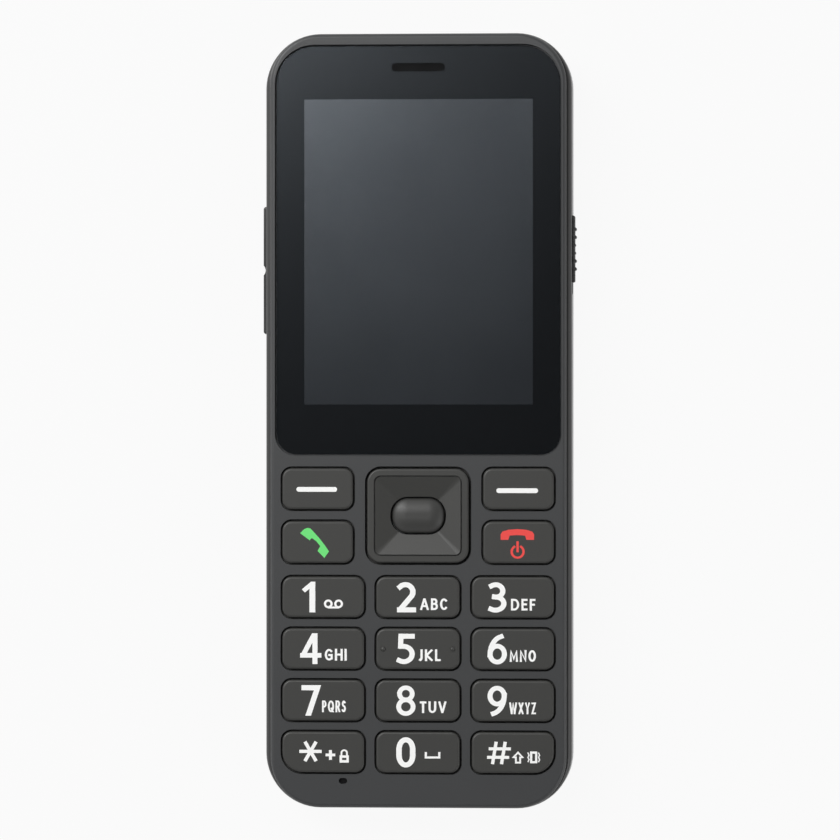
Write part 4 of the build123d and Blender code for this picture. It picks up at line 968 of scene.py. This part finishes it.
GLYPHS["6"] = Glyph(
    0.63, tuple([(1 - x, 1 - y) for x, y in line] for line in GLYPHS["9"].lines), GLYPHS["9"].pen
)


class Pen:
    """Draws flat lines and areas in millimetres, and lifts them into a thin film of ink."""

    thin_bars = 0.1
    space = 0.24
    mitre_limit = 1.9
    sharpest = 0.1
    same_spot = 1e-4

    def __init__(self, width: float) -> None:
        """Take a pen of a given width."""
        self.width = width
        self.points: list[tuple[float, float, float]] = []
        self.faces: list[list[int]] = []
        self.limits: Point | None = None

    def line(self, points: Sequence[Point], width: float | None = None) -> None:
        """Draw a line with mitred corners, closed where its two ends meet.

        Args:
            points: What the middle of the pen goes through.
            width: Its width, if not the pen's own.
        """
        width = width or self.width
        path = [Vector(point) for point in points]
        path = [
            here for here, before in zip(path, [None, *path])
            if before is None or (here - before).length > self.same_spot
        ]
        closed = (path[0] - path[-1]).length < self.same_spot
        if closed:
            path.pop()
        else:
            path[0] = path[0] + (path[0] - path[1]).normalized() * (width / 2)
            path[-1] = path[-1] + (path[-1] - path[-2]).normalized() * (width / 2)
        count = len(path)
        first = len(self.points)
        for index, here in enumerate(path):
            before = path[index - 1] if index or closed else None
            after = path[(index + 1) % count] if index < count - 1 or closed else None
            into = (here - before).normalized() if before is not None else None
            out = (after - here).normalized() if after is not None else None
            into = out if into is None else into
            out = into if out is None else out
            along = (into + out).normalized()
            across = Vector((-along.y, along.x))
            turn = max(across.dot(Vector((-into.y, into.x))), self.sharpest)
            stretch = min(1 / turn, self.mitre_limit)
            half = width / 2 * (1 - self.thin_bars * abs(along.x))
            for side in (1, -1):
                spot = here + across * side * half * stretch
                self.points.append((spot.x, spot.y, 0.0))
        spans = count if closed else count - 1
        for index in range(spans):
            left, right = first + 2 * index, first + 2 * index + 1
            far_left = first + 2 * ((index + 1) % count)
            self.faces.append([left, right, far_left + 1, far_left])

    def cross_bar(self, middle: Point, reach: Vector, width: float | None = None) -> None:
        """Draw a line that reaches equally far to both sides of a spot."""
        x, y = middle
        self.line([(x - reach.x, y - reach.y), (x + reach.x, y + reach.y)], width)

    def area(self, outline: Sequence[Point]) -> None:
        """Fill an outline."""
        first = len(self.points)
        self.points.extend((x, y, 0.0) for x, y in outline)
        self.faces.append(list(range(first, first + len(outline))))

    def glyph(self, sign: str, box: tuple[float, float, float, float]) -> None:
        """Draw a letter or number so that its ink fills a box.

        Args:
            sign: The letter or number.
            box: Its left, right, lower and upper limits.
        """
        left, right, low, high = box
        drawn = GLYPHS[sign]
        pen = self.width * drawn.pen
        for line in drawn.lines:
            self.line([
                (left + pen / 2 + x * (right - left - pen), low + pen / 2 + y * (high - low - pen))
                for x, y in line
            ], pen)
        for outline in drawn.areas:
            self.area([(left + x * (right - left), low + y * (high - low)) for x, y in outline])
        self.limits = (low, high)

    def word(self, word: str, box: tuple[float, float, float, float]) -> None:
        """Draw letters side by side so that the word fills a box."""
        left, right, low, high = box
        natural = sum(GLYPHS[sign].width for sign in word) + self.space * (len(word) - 1)
        scale = (right - left) / natural
        for sign in word:
            reach = GLYPHS[sign].width * scale
            self.glyph(sign, (left, left + reach, low, high))
            left += reach + self.space * scale

    def lift(self, name: str, level: float, thick: float) -> Workpiece:
        """Turn what is drawn into one closed film.

        Args:
            name: The piece's name.
            level: The level of its top in metres.
            thick: Its thickness in metres.

        Returns:
            The film.
        """
        mesh = bpy.data.meshes.new(name)
        mesh.from_pydata(self.points, [], self.faces)
        item = bpy.data.objects.new(name, mesh)
        bpy.context.scene.collection.objects.link(item)
        film = Workpiece(item, name)
        film.edit()
        for limit, side in zip(self.limits or (), (1, -1)):
            film.pick_all()
            bpy.ops.mesh.bisect(plane_co=(0, limit, 0), plane_no=(0, side, 0), clear_inner=True)
        film.pick_all()
        film.raise_by(thick / MM)
        film.pick_all()
        bpy.ops.mesh.normals_make_consistent(inside=False)
        bpy.ops.mesh.intersect_boolean(
            operation="UNION", use_swap=False, use_self=True, threshold=1e-6, solver="EXACT"
        )
        film.pick_all()
        bpy.ops.mesh.dissolve_limited(angle_limit=FLAT_INK_ANGLE)
        film.done()
        item.data.transform(Matrix.Translation((0, 0, level - thick)) @ Matrix.Scale(MM, 4))
        return film


@dataclass
class KeySigns:
    """The numbers, letters and plain signs printed on the keys, placed in millimetres."""

    level: float = 0.0
    thick: float = 0.03 * MM
    proud: float = 0.015 * MM
    digit_pen: float = 1.05
    letter_pen: float = 0.42
    crowded_share: float = 0.82
    digit_rise: float = 2.9
    letter_height: float = 2.22
    star_pen: float = 0.67
    star_spot: Point = (-20.29, -62.35)
    star_reach: float = 1.78
    plus_pen: float = 0.56
    plus_spot: Point = (-16.52, -63.0)
    plus_reach: float = 0.64
    lock_pens: Point = (0.5, 0.34)
    hash_pen: float = 0.62
    hash_slope: float = 0.2
    arrow_pen: float = 0.36
    dash_pen: float = 0.9
    power_pen: float = 0.45
    digits: dict[str, tuple[float, float]] = field(default_factory=lambda: {
        "1": (-21.93, -19.39), "2": (-3.94, -0.34), "3": (13.24, 16.71),
        "4": (-22.26, -18.24), "5": (-4.05, -0.58), "6": (13.13, 16.80),
        "7": (-22.0, -18.45), "8": (-4.09, -0.45), "9": (13.13, 16.77), "0": (-4.09, -0.45),
    })
    words: dict[str, tuple[str, float, float, float]] = field(default_factory=lambda: {
        "2": ("ABC", 0.43, 5.54, -35.65), "3": ("DEF", 17.54, 22.16, -35.7),
        "4": ("GHI", -17.6, -13.5, -45.22), "5": ("JKL", 0.08, 4.3, -45.27),
        "6": ("MNO", 17.3, 22.26, -45.35), "7": ("PQRS", -18.12, -13.6, -54.95),
        "8": ("TUV", 0.36, 5.37, -55.05), "9": ("WXYZ", 17.22, 22.26, -55.2),
    })

    def build(self) -> None:
        """Print every key."""
        self.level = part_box("key_1")[1].z + self.proud
        for digit, (left, right) in self.digits.items():
            self.print_digit(digit, left, right)
        self.print_star_key()
        self.print_hash_key()
        self.print_soft_keys()
        self.print_call_key()
        self.print_end_key()

    def finish_sign(self, pen: Pen, key: str, ink: Finish, name: str = "print") -> None:
        """Lift a drawing and fix it to its key."""
        mount(pen.lift(f"{key}_{name}", self.level, self.thick), key, ink)

    def print_digit(self, digit: str, left: float, right: float) -> None:
        """Print a number with what stands beside it."""
        key = f"key_{digit}"
        row = middle_of(key).y / MM
        pen = Pen(self.digit_pen)
        pen.glyph(digit, (left, right, row - self.digit_rise, row + self.digit_rise))
        self.finish_sign(pen, key, WHITE_INK)
        small = Pen(self.letter_pen)
        if digit in self.words:
            word, start, end, low = self.words[digit]
            small.width *= self.crowded_share if len(word) > 3 else 1
            small.word(word, (start, end, low, low + self.letter_height))
        elif digit == "1":
            for x in (-16.93, -14.98):
                small.line(ring((x, -34.52), (0.62, 0.62)))
            small.line([(-16.8, -35.2), (-15.1, -35.2)])
        else:
            small.line([(1.5, -62.6), (1.5, -63.4), (4.04, -63.4), (4.04, -62.6)])
        self.finish_sign(small, key, WHITE_INK, "small_print")

    def print_star_key(self) -> None:
        """Print the star, the plus sign and the padlock."""
        pen = Pen(self.star_pen)
        for turn in (0, 60, 120):
            angle = math.radians(turn)
            reach = Vector((math.cos(angle), math.sin(angle))) * self.star_reach
            pen.cross_bar(self.star_spot, reach)
        for reach in (Vector((self.plus_reach, 0)), Vector((0, self.plus_reach))):
            pen.cross_bar(self.plus_spot, reach, self.plus_pen)
        pen.line([
            (-14.56, -64.2), (-13.28, -64.2), (-13.28, -63.3), (-14.56, -63.3), (-14.56, -64.2),
        ], self.lock_pens[0])
        shackle = [(-14.44, -63.2), *arc((-13.92, -62.6), (0.52, 0.5), 180, 0), (-13.4, -63.2)]
        pen.line(shackle, self.lock_pens[1])
        self.finish_sign(pen, "key_star", WHITE_INK)

    def print_hash_key(self) -> None:
        """Print the hash sign, the shift arrow and the phone that shakes."""
        pen = Pen(self.hash_pen)
        for x in (14.42, 16.12):
            pen.line([(x - 0.3, -64.3), (x + 0.3, -60.7)])
        for y in (-61.72, -63.32):
            shift = (y + 63.32) * self.hash_slope
            pen.line([(13.35 + shift, y), (16.9 + shift, y)])
        self.finish_sign(pen, "key_hash", WHITE_INK)
        small = Pen(self.arrow_pen)
        small.line([
            (18.88, -62.4), (19.75, -63.3), (19.28, -63.3), (19.28, -64.3), (18.48, -64.3),
            (18.48, -63.3), (18.01, -63.3), (18.88, -62.4),
        ])
        small.line([
            (21.35, -62.4), (22.3, -62.4), (22.3, -64.2), (21.35, -64.2), (21.35, -62.4),
        ], 0.44)
        for x in (20.85, 22.85):
            small.line([
                (x - 0.08, -62.5), (x + 0.1, -62.9), (x - 0.1, -63.3), (x + 0.1, -63.7),
                (x - 0.08, -64.1),
            ], 0.22)
        self.finish_sign(small, "key_hash", WHITE_INK, "small_print")

    def print_soft_keys(self) -> None:
        """Print the two round-ended dashes."""
        for key, left, right, y in (
            ("soft_key_left", -22.95, -15.26, -12.94), ("soft_key_right", 14.8, 22.65, -13.15),
        ):
            pen = Pen(self.dash_pen)
            half = self.dash_pen / 2
            pen.area([
                *arc((right - half, y), (half, half), -90, 90),
                *arc((left + half, y), (half, half), 90, 270),
            ])
            self.finish_sign(pen, key, WHITE_INK)

    def print_call_key(self) -> None:
        """Print the lifted handset."""
        pen = Pen(self.digit_pen)
        pen.area([
            (-22.25, -21.2), (-21.5, -20.45), (-20.9, -20.2), (-20.35, -20.3), (-19.75, -20.9),
            (-18.54, -22.25), (-17.5, -23.6), (-16.8, -24.63), (-17.67, -25.86), (-18.95, -24.55),
            (-18.45, -23.62), (-19.2, -22.7), (-20.05, -22.1), (-20.45, -22.55),
        ])
        self.finish_sign(pen, "call_key", GREEN_INK)

    def print_end_key(self) -> None:
        """Print the laid handset and the power sign."""
        pen = Pen(self.power_pen)
        pen.area([
            (15.62, -22.4), (15.62, -21.35), (15.95, -20.85), (17.1, -20.5), (18.75, -20.38),
            (20.4, -20.5), (21.55, -20.85), (21.9, -21.35), (21.9, -22.4), (20.45, -22.4),
            (20.2, -21.6), (18.75, -21.5), (17.3, -21.6), (17.05, -22.4),
        ])
        pen.line(arc((18.8, -24.63), (1.12, 1.12), 125, 415))
        pen.line([(18.8, -22.9), (18.8, -24.5)])
        self.finish_sign(pen, "end_key", RED_INK)


# ------------------------------------------------------------- navigation keys
@dataclass
class NavigationKeys:
    """The square key with its ring, groove and four-sided dish, and the key in its middle."""

    lip: float = 0.4 * MM
    flange: float = 0.5 * MM
    gap: float = 0.45 * MM
    corner: float = 3.0 * MM
    edge: float = 0.3 * MM
    ring: float = 1.25 * MM
    groove: float = 0.27 * MM
    groove_depth: float = 0.5 * MM
    dish_run: float = 4.5 * MM
    dish_corner: float = 0.32 * MM
    dish_depth: float = 1.2 * MM
    ok_lip: float = 0.5 * MM
    ok_slim: float = 0.3 * MM
    ok_foot: float = 0.43 * MM
    ok_foot_size: Point = (1.2 * MM, 1.2 * MM)
    ok_gap: float = 0.22 * MM
    ok_corner: float = 3.1 * MM
    ok_crown_run: float = 2.9 * MM
    ok_crown_rise: float = 1.5 * MM
    ok_crown_steps: int = 12
    edge_steps: int = 3
    round_steps: int = 10

    def build(self) -> None:
        """Make both keys."""
        self.add_nav_key()
        self.add_ok_key()

    def rounded(self, name: str, size: Vector, spot: Vector, corner: float) -> Workpiece:
        """Lay a plate with four equal round corners, and stay in edit mode."""
        plate = Workpiece.plate(name, spot, size.x, size.y)
        plate.edit()
        plate.round_corners(even(corner), self.round_steps)
        return plate

    def add_nav_key(self) -> None:
        """Model the square key: flange, body, groove, dish and the hole for the middle key."""
        low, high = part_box("nav_key")
        spot = (low + high) / 2
        spot.z = low.z
        size = high - low
        key = self.rounded("nav_key_cap", size, spot, self.corner + self.lip)
        key.raise_by(self.flange)
        key.pick_flat(low.z + self.flange)
        key.inset(self.lip + self.gap)
        key.raise_by(high.z - low.z - self.flange)
        key.fix_normals()
        key.bevel_rim(high.z, self.edge, self.edge_steps)
        key.pick_flat(high.z)
        key.inset(self.ring - self.edge)
        key.inset(self.groove)
        key.pick_border_of_chosen()
        key.raise_by(-self.groove_depth)
        key.fix_normals()
        key.done()
        key.cut(self.dish_tool(size, spot, high.z))
        key.cut(self.hole_tool(low.z, high.z))
        key.smooth(DISH_ANGLE)
        mount(key, "nav_key", NAV_PLASTIC, ["nav_key"])

    def dish_tool(self, size: Vector, spot: Vector, level: float) -> Workpiece:
        """Model the four-sided block that leaves the dish."""
        inset = self.lip + self.gap + self.ring + self.groove
        width = size.x - 2 * inset
        height = size.y - 2 * inset
        middle = Vector((spot.x, spot.y, level - self.dish_depth))
        tool = Workpiece.plate(
            "dish_tool", middle, width - 2 * self.dish_run, height - 2 * self.dish_run
        )
        tool.edit()
        tool.round_corners(even(self.dish_corner), self.round_steps)
        tool.raise_by(self.dish_depth)
        grow = (width / (width - 2 * self.dish_run), height / (height - 2 * self.dish_run), 1)
        bpy.ops.transform.resize(value=grow, center_override=Vector((spot.x, spot.y, level)))
        tool.close(self.dish_depth)
        return tool

    def hole_tool(self, low: float, high: float) -> Workpiece:
        """Model the upright block that leaves the middle key's hole."""
        size = extent("ok_key") + Vector((1, 1, 0)) * 2 * (self.ok_gap - self.ok_lip - self.ok_slim)
        spot = middle_of("ok_key")
        spot.z = low - self.flange
        height = high - low + 2 * self.flange
        corners = even(self.ok_corner + self.ok_gap)
        return Workpiece.block("hole_tool", spot, size, height, corners, self.round_steps)

    def add_ok_key(self) -> None:
        """Model the crowned key in the middle."""
        low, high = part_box("ok_key")
        spot = (low + high) / 2
        spot.z = low.z
        foot = Workpiece.block("ok_foot", spot, self.ok_foot_size, 2 * self.ok_foot)
        spot.z = low.z + self.ok_foot
        size = high - low - Vector((1, 1, 0)) * 2 * (self.ok_lip + self.ok_slim)
        key = self.rounded("ok_key_cap", size, spot, self.ok_corner)
        shoulder = high.z - self.ok_crown_rise
        key.raise_by(shoulder - spot.z)
        key.fix_normals()
        key.pick_flat(shoulder)
        key.crown(self.ok_crown_run, self.ok_crown_rise, self.ok_crown_steps)
        key.done()
        key.cut(foot, "UNION")
        key.smooth(DOMED_ANGLE)
        mount(key, "ok_key", OK_PLASTIC, ["ok_key"])


# ------------------------------------------------------------- display
@dataclass
class Display:
    """The cover glass with its printed border, and the panel behind it."""

    top_corner: float = 7.2 * MM
    bottom_corner: float = 3.8 * MM
    edge: float = 0.12 * MM
    print_thick: float = 0.03 * MM
    film_share: float = 0.6
    active_width: float = 43.2 * MM
    active_height: float = 57.6 * MM
    active_middle: float = 31.86 * MM
    film_gap: float = 0.01 * MM
    slot_width: float = 10.1 * MM
    slot_height: float = 1.6 * MM
    slot_drop: float = 4.0 * MM
    slot_steps: int = 8
    edge_steps: int = 3
    round_steps: int = 14

    def build(self) -> None:
        """Make the glass, the print and the panel's front film."""
        low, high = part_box("display_lens")
        self.add_glass(low, high)
        self.add_print(low, high)
        self.add_film(low)

    def lens_plate(self, name: str, low: Vector, high: Vector, level: float) -> Workpiece:
        """Lay the lens's outline at a level, and stay in edit mode."""
        middle = (low + high) / 2
        middle.z = level
        plate = Workpiece.plate(name, middle, high.x - low.x, high.y - low.y)
        plate.edit()
        radii = {(x, 1): self.top_corner for x in (-1, 1)}
        radii.update({(x, -1): self.bottom_corner for x in (-1, 1)})
        plate.round_corners(radii, self.round_steps)
        return plate

    def slot_tool(self, high: Vector, level: float, height: float) -> Workpiece:
        """Model the block that leaves the earpiece's slot."""
        spot = Vector((0, high.y - self.slot_drop, level - height))
        size = (self.slot_width, self.slot_height)
        radius = self.slot_height / 2 * ROUND_END
        return Workpiece.block("slot_tool", spot, size, 3 * height, even(radius), self.slot_steps)

    def add_glass(self, low: Vector, high: Vector) -> None:
        """Model the clear glass with its softened edge."""
        base = low.z + self.print_thick
        glass = self.lens_plate("lens_glass", low, high, base)
        glass.raise_by(high.z - base)
        glass.fix_normals()
        glass.bevel_rim(high.z, self.edge, self.edge_steps)
        glass.done()
        glass.cut(self.slot_tool(high, base, high.z - base))
        glass.smooth()
        mount(glass, "phone", LENS_GLASS, ["display_lens"])

    def add_print(self, low: Vector, high: Vector) -> None:
        """Model the black border printed under the glass."""
        border = self.lens_plate("lens_border_print", low, high, low.z)
        border.close(self.print_thick * self.film_share)
        border.cut(self.window_block("window_tool", low.z - self.print_thick, 3 * self.print_thick))
        border.cut(self.slot_tool(high, low.z, self.print_thick))
        mount(border, "phone", LENS_PRINT)

    def add_film(self, low: Vector) -> None:
        """Model the panel's front film, laminated under the window in the print."""
        thick = self.print_thick * self.film_share
        film = self.window_block("display_front_film", low.z, thick, self.film_gap)
        mount(film, "phone", PANEL)

    def window_block(self, name: str, level: float, height: float, gap: float = 0.0) -> Workpiece:
        """Set down a block as large as the lit area, less a gap on every side."""
        size = (self.active_width - 2 * gap, self.active_height - 2 * gap)
        return Workpiece.block(name, Vector((0, self.active_middle, level)), size, height)


# ------------------------------------------------------------- shells
@dataclass
class Shells:
    """The moulded shells and side keys, whose forms come from the frame."""

    copies: dict[str, tuple[str, str, Finish]] = field(default_factory=lambda: {
        "front_housing": ("phone", "front_shell", FRONT_PLASTIC),
        "mid_frame": ("phone", "frame_band", FRAME_PLASTIC),
        "back_cover": ("back_cover", "back_shell", BACK_PLASTIC),
        "volume_rocker": ("volume_rocker", "side_key", SIDE_PLASTIC),
        "slide_knob": ("slide_knob", "side_key", SIDE_PLASTIC),
    })

    def build(self) -> None:
        """Copy each shell with smooth shading."""
        for node, (body, slot, finish) in self.copies.items():
            piece = Workpiece.copy_of(node, f"{node}_moulded")
            piece.smooth()
            mount(piece, body, finish, [node])


# ------------------------------------------------------------- small parts
@dataclass
class SmallParts:
    """The screws, the camera's ring and lens, the microphone's mesh and the battery's signs."""

    row_limits: tuple[float, ...] = (-80 * MM, -40 * MM, 40 * MM, 80 * MM)
    head_radius: float = 1.3 * MM
    head_height: float = 0.7 * MM
    head_round: float = 0.22 * MM
    head_sides: int = 32
    head_steps: int = 4
    shank_radius: float = 0.7 * MM
    cross_length: float = 1.5 * MM
    cross_width: float = 0.34 * MM
    cross_depth: float = 0.4 * MM
    ring_radius: float = 4.38 * MM
    ring_width: float = 0.75 * MM
    ring_level: float = 0.03 * MM
    ring_thick: float = 0.16 * MM
    ring_sides: int = 72
    lens_radius: float = 1.45 * MM
    lens_base: float = 1.9 * MM
    lens_thick: float = 0.1 * MM
    lens_rise: float = 0.25 * MM
    lens_share: float = 0.9
    lens_sides: int = 48
    lens_steps: int = 8
    mesh_spot: tuple[float, float, float] = (-14.2 * MM, -67.91 * MM, 13.1 * MM)
    mesh_size: tuple[float, float] = (1.56 * MM, 1.06 * MM)
    mesh_thick: float = 0.06 * MM
    mesh_steps: int = 6
    sign_thick: float = 0.02 * MM
    sign_pen: float = 0.7
    sign_reach: float = 1.1
    signs: tuple[Point, Point] = ((-9.0, 10.5), (9.0, 10.5))

    def build(self) -> None:
        """Make each of them."""
        self.add_screws()
        self.add_camera_ring()
        self.add_camera_lens()
        self.add_microphone_mesh()
        self.add_battery_signs()

    def add_screws(self) -> None:
        """Model one cross-head screw, and set a copy in each hole."""
        low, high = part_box("screws")
        model = self.make_screw(low.z, high.z)
        column = high.x - self.head_radius
        heights = [point.co.y for point in frame["nodes"]["screws"].data.vertices]
        screws = []
        for start, end in zip(self.row_limits, self.row_limits[1:]):
            row = [height for height in heights if start < height < end]
            for side in (-1, 1):
                screw = model.duplicate("screw")
                screw.move(Vector((side * column, (min(row) + max(row)) / 2, 0)))
                screws.append(screw)
        model.discard()
        screws[0].join(screws[1:])
        mount(Workpiece(screws[0].item, "cross_head_screws"), "phone", STEEL, ["screws"])

    def make_screw(self, low: float, high: float) -> Workpiece:
        """Model a screw on the origin's axis, its head down."""
        base = Vector((0, 0, low))
        screw = Workpiece.disc("screw_model", base, self.head_radius, self.head_sides)
        screw.edit()
        screw.pick_all()
        screw.raise_by(self.head_height)
        screw.inset(self.head_radius - self.shank_radius)
        screw.raise_by(high - low - self.head_height)
        screw.fix_normals()
        screw.bevel_rim(low, self.head_round, self.head_steps, upward=False)
        screw.done()
        for width, height in (
            (self.cross_length, self.cross_width), (self.cross_width, self.cross_length),
        ):
            start = Vector((0, 0, low - self.cross_depth))
            screw.cut(Workpiece.block("blade", start, (width, height), 2 * self.cross_depth))
        screw.smooth()
        return screw

    def add_camera_ring(self) -> None:
        """Model the thin ring that frames the camera's window."""
        middle = middle_of("camera_window")
        middle.z = self.ring_level
        rim = Workpiece.disc("camera_ring", middle, self.ring_radius, self.ring_sides)
        rim.edit()
        rim.pick_all()
        rim.inset(self.ring_width)
        bpy.ops.mesh.delete(type="FACE")
        rim.pick_all()
        rim.close(self.ring_thick)
        rim.smooth()
        mount(rim, "back_cover", RING_METAL)

    def add_camera_lens(self) -> None:
        """Model the domed lens in the camera's recess."""
        middle = middle_of("camera_module")
        middle.z = self.lens_base - self.lens_thick
        lens = Workpiece.disc("camera_lens", middle, self.lens_radius, self.lens_sides)
        lens.edit()
        lens.pick_all()
        lens.raise_by(self.lens_thick)
        lens.fix_normals()
        lens.pick_flat(middle.z, upward=False)
        lens.crown(self.lens_radius * self.lens_share, self.lens_rise, self.lens_steps)
        lens.done()
        lens.smooth(DOMED_ANGLE)
        mount(lens, "phone", COATED_LENS)

    def add_microphone_mesh(self) -> None:
        """Model the black cloth in the microphone's slot, its colour darkened with painted shade of
        the slot.
        """
        corners = even(self.mesh_size[1] / 2 * ROUND_END)
        cloth = Workpiece.block(
            "microphone_mesh", Vector(self.mesh_spot), self.mesh_size, self.mesh_thick,
            corners, self.mesh_steps,
        )
        mount(cloth, "phone", SHADE_DARKENED_MESH_CLOTH)

    def add_battery_signs(self) -> None:
        """Print the minus and plus signs beside the battery's contacts."""
        pen = Pen(self.sign_pen)
        reach = self.sign_reach
        for index, (x, y) in enumerate(self.signs):
            pen.line([(x - reach, y), (x + reach, y)])
            if index:
                pen.line([(x, y - reach), (x, y + reach)])
        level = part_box("battery")[0].z + self.sign_thick / 4
        mount(pen.lift("battery_signs", level, self.sign_thick), "phone", WHITE_INK)


# ------------------------------------------------------------- inside
@dataclass
class Inside:
    """The nodes that keep their own shape and get a finish, in groups of one finish."""

    groups: tuple[tuple[Finish, str], ...] = (
        (PANEL, "display_panel"),
        (TAPE, "lens_tape"),
        (SHADE_DARKENED_MESH_CLOTH, "earpiece_mesh"),
        # The earpiece's cloth is black, with painted shade of its slot added to that colour.
        (FOAM, "display_gasket speaker_gasket"),
        (SILICONE, "keypad_mat mic_boot"),
        (STEEL, "display_tray shield_cans usb_port sim_socket volume_switches slide_switch"),
        (STEEL, "antenna vibration_motor microphone"),
        (DOME_STEEL, "dome_sheet"),
        (BOARD, "main_board"),
        (CHIP, "board_chips battery_contacts audio_jack slide_actuator nav_pivot"),
        (CHIP, "antenna_carrier loudspeaker earpiece camera_module"),
        (TUNGSTEN, "vibration_weight"),
        (FLEX, "display_flex"),
        (LED, "keypad_leds torch_led torch_light_pipe"),
        (WRAP, "battery"),
        (WINDOW_GLASS, "camera_window"),
    )

    def build(self) -> None:
        """Finish each node."""
        for finish, nodes in self.groups:
            for node in nodes.split():
                dress(frame["nodes"][node], finish)


# ------------------------------------------------------------- stage
@dataclass
class Stage:
    """The pale floor, the soft lamps, the surroundings and the camera."""

    distance: float = 1.0
    sideways: float = 0.068
    aim_x: float = 0.37 * MM
    aim_y: float = 0.14 * MM
    face: float = 13.6 * MM
    lens: float = 228.0
    floor_size: float = 6.0
    floor_drop: float = 0.05 * MM
    white: float = 0.965
    floor_share: float = 0.965
    ceiling: Point = (0.35, 0.95)
    unseen_share: float = 0.42
    lamps: tuple[tuple[str, tuple[float, float, float], float, float], ...] = (
        ("key_softbox", (-0.70, 0.60, 0.85), 0.70, 11.2),
        ("fill_softbox", (0.75, -0.35, 0.55), 0.60, 1.8),
        ("overhead_softbox", (-0.202, 0.288, 0.95), 0.286, 2.5),
    )

    def build(self) -> None:
        """Set the stage."""
        scene = bpy.context.scene
        scene.view_settings.view_transform = "Standard"
        self.add_floor()
        self.add_surroundings(scene)
        for lamp in self.lamps:
            self.add_lamp(*lamp)
        self.add_camera(scene)

    def add_floor(self) -> None:
        """Lay the floor, pale where it is seen, with the object's shadow kept."""
        level = CAD_BOX[0].z - self.floor_drop
        floor = Workpiece.plate("floor", Vector((0, 0, level)), self.floor_size, self.floor_size)
        material = bpy.data.materials.new("pale_floor")
        bench = NodeBench(material)
        matt = bench.add("ShaderNodeBsdfDiffuse", {}, {"Color": tone("E6E6E6")})
        glow = {"Color": (1, 1, 1, 1), "Strength": self.white}
        bright = bench.add("ShaderNodeEmission", {}, glow)
        share = self.seen(bench) * self.floor_share
        bench.finish(bench.add("ShaderNodeMixShader", {}, {0: share, 1: matt, 2: bright}))
        floor.item.data.materials.append(material)

    @staticmethod
    def seen(bench: NodeBench) -> Signal:
        """1 for rays that come from the camera, off a gloss or through glass."""
        rays = [
            bench.add("ShaderNodeLightPath", output=name)
            for name in ("Is Camera Ray", "Is Glossy Ray", "Is Transmission Ray")
        ]
        return rays[0].largest(rays[1]).largest(rays[2])

    def add_surroundings(self, scene: bpy.types.Scene) -> None:
        """Pale surroundings that darken overhead, as under a studio's ceiling."""
        world = bpy.data.worlds.new("studio")
        scene.world = world
        bench = NodeBench(world)
        direction = bench.add("ShaderNodeTexCoord", output="Generated")
        height = bench.add("ShaderNodeSeparateXYZ", {}, {0: direction}, output=2)
        colour = bench.blend(height.ramp(*self.ceiling), tone("FAFAFA"), tone("58585A"))
        strength = self.unseen_share + self.seen(bench) * (1 - self.unseen_share)
        light = bench.add("ShaderNodeBackground", {}, {"Color": colour, "Strength": strength})
        bench.add("ShaderNodeOutputWorld", {}, {"Surface": light})

    @staticmethod
    def add_lamp(name: str, spot: Sequence[float], size: float, power: float) -> None:
        """Hang a square soft lamp that faces the object."""
        lamp = bpy.data.lights.new(name, "AREA")
        lamp.size = size
        lamp.energy = power
        item = bpy.data.objects.new(name, lamp)
        item.location = spot
        item.rotation_euler = Vector(spot).to_track_quat("Z", "Y").to_euler()
        bpy.context.scene.collection.objects.link(item)

    def add_camera(self, scene: bpy.types.Scene) -> None:
        """Look down at the face from a little to the right, with the top of the picture to +Y."""
        camera = bpy.data.cameras.new("camera")
        camera.lens = self.lens
        item = bpy.data.objects.new("camera", camera)
        item.location = (self.sideways, self.aim_y, self.face + self.distance)
        item.rotation_euler = (0, math.atan2(self.sideways - self.aim_x, self.distance), 0)
        scene.collection.objects.link(item)
        scene.camera = item


def main() -> None:
    """Build the phone and its stage, in order."""
    logging.basicConfig(level=logging.INFO, format="%(name)s: %(message)s")
    sections = (
        Shells(), Keypad(), KeySigns(), NavigationKeys(), Display(), SmallParts(), Inside(),
        Stage(),
    )
    for section in sections:
        section.build()
        log.info("%s is built", type(section).__name__)


if __name__ == "__main__":
    main()
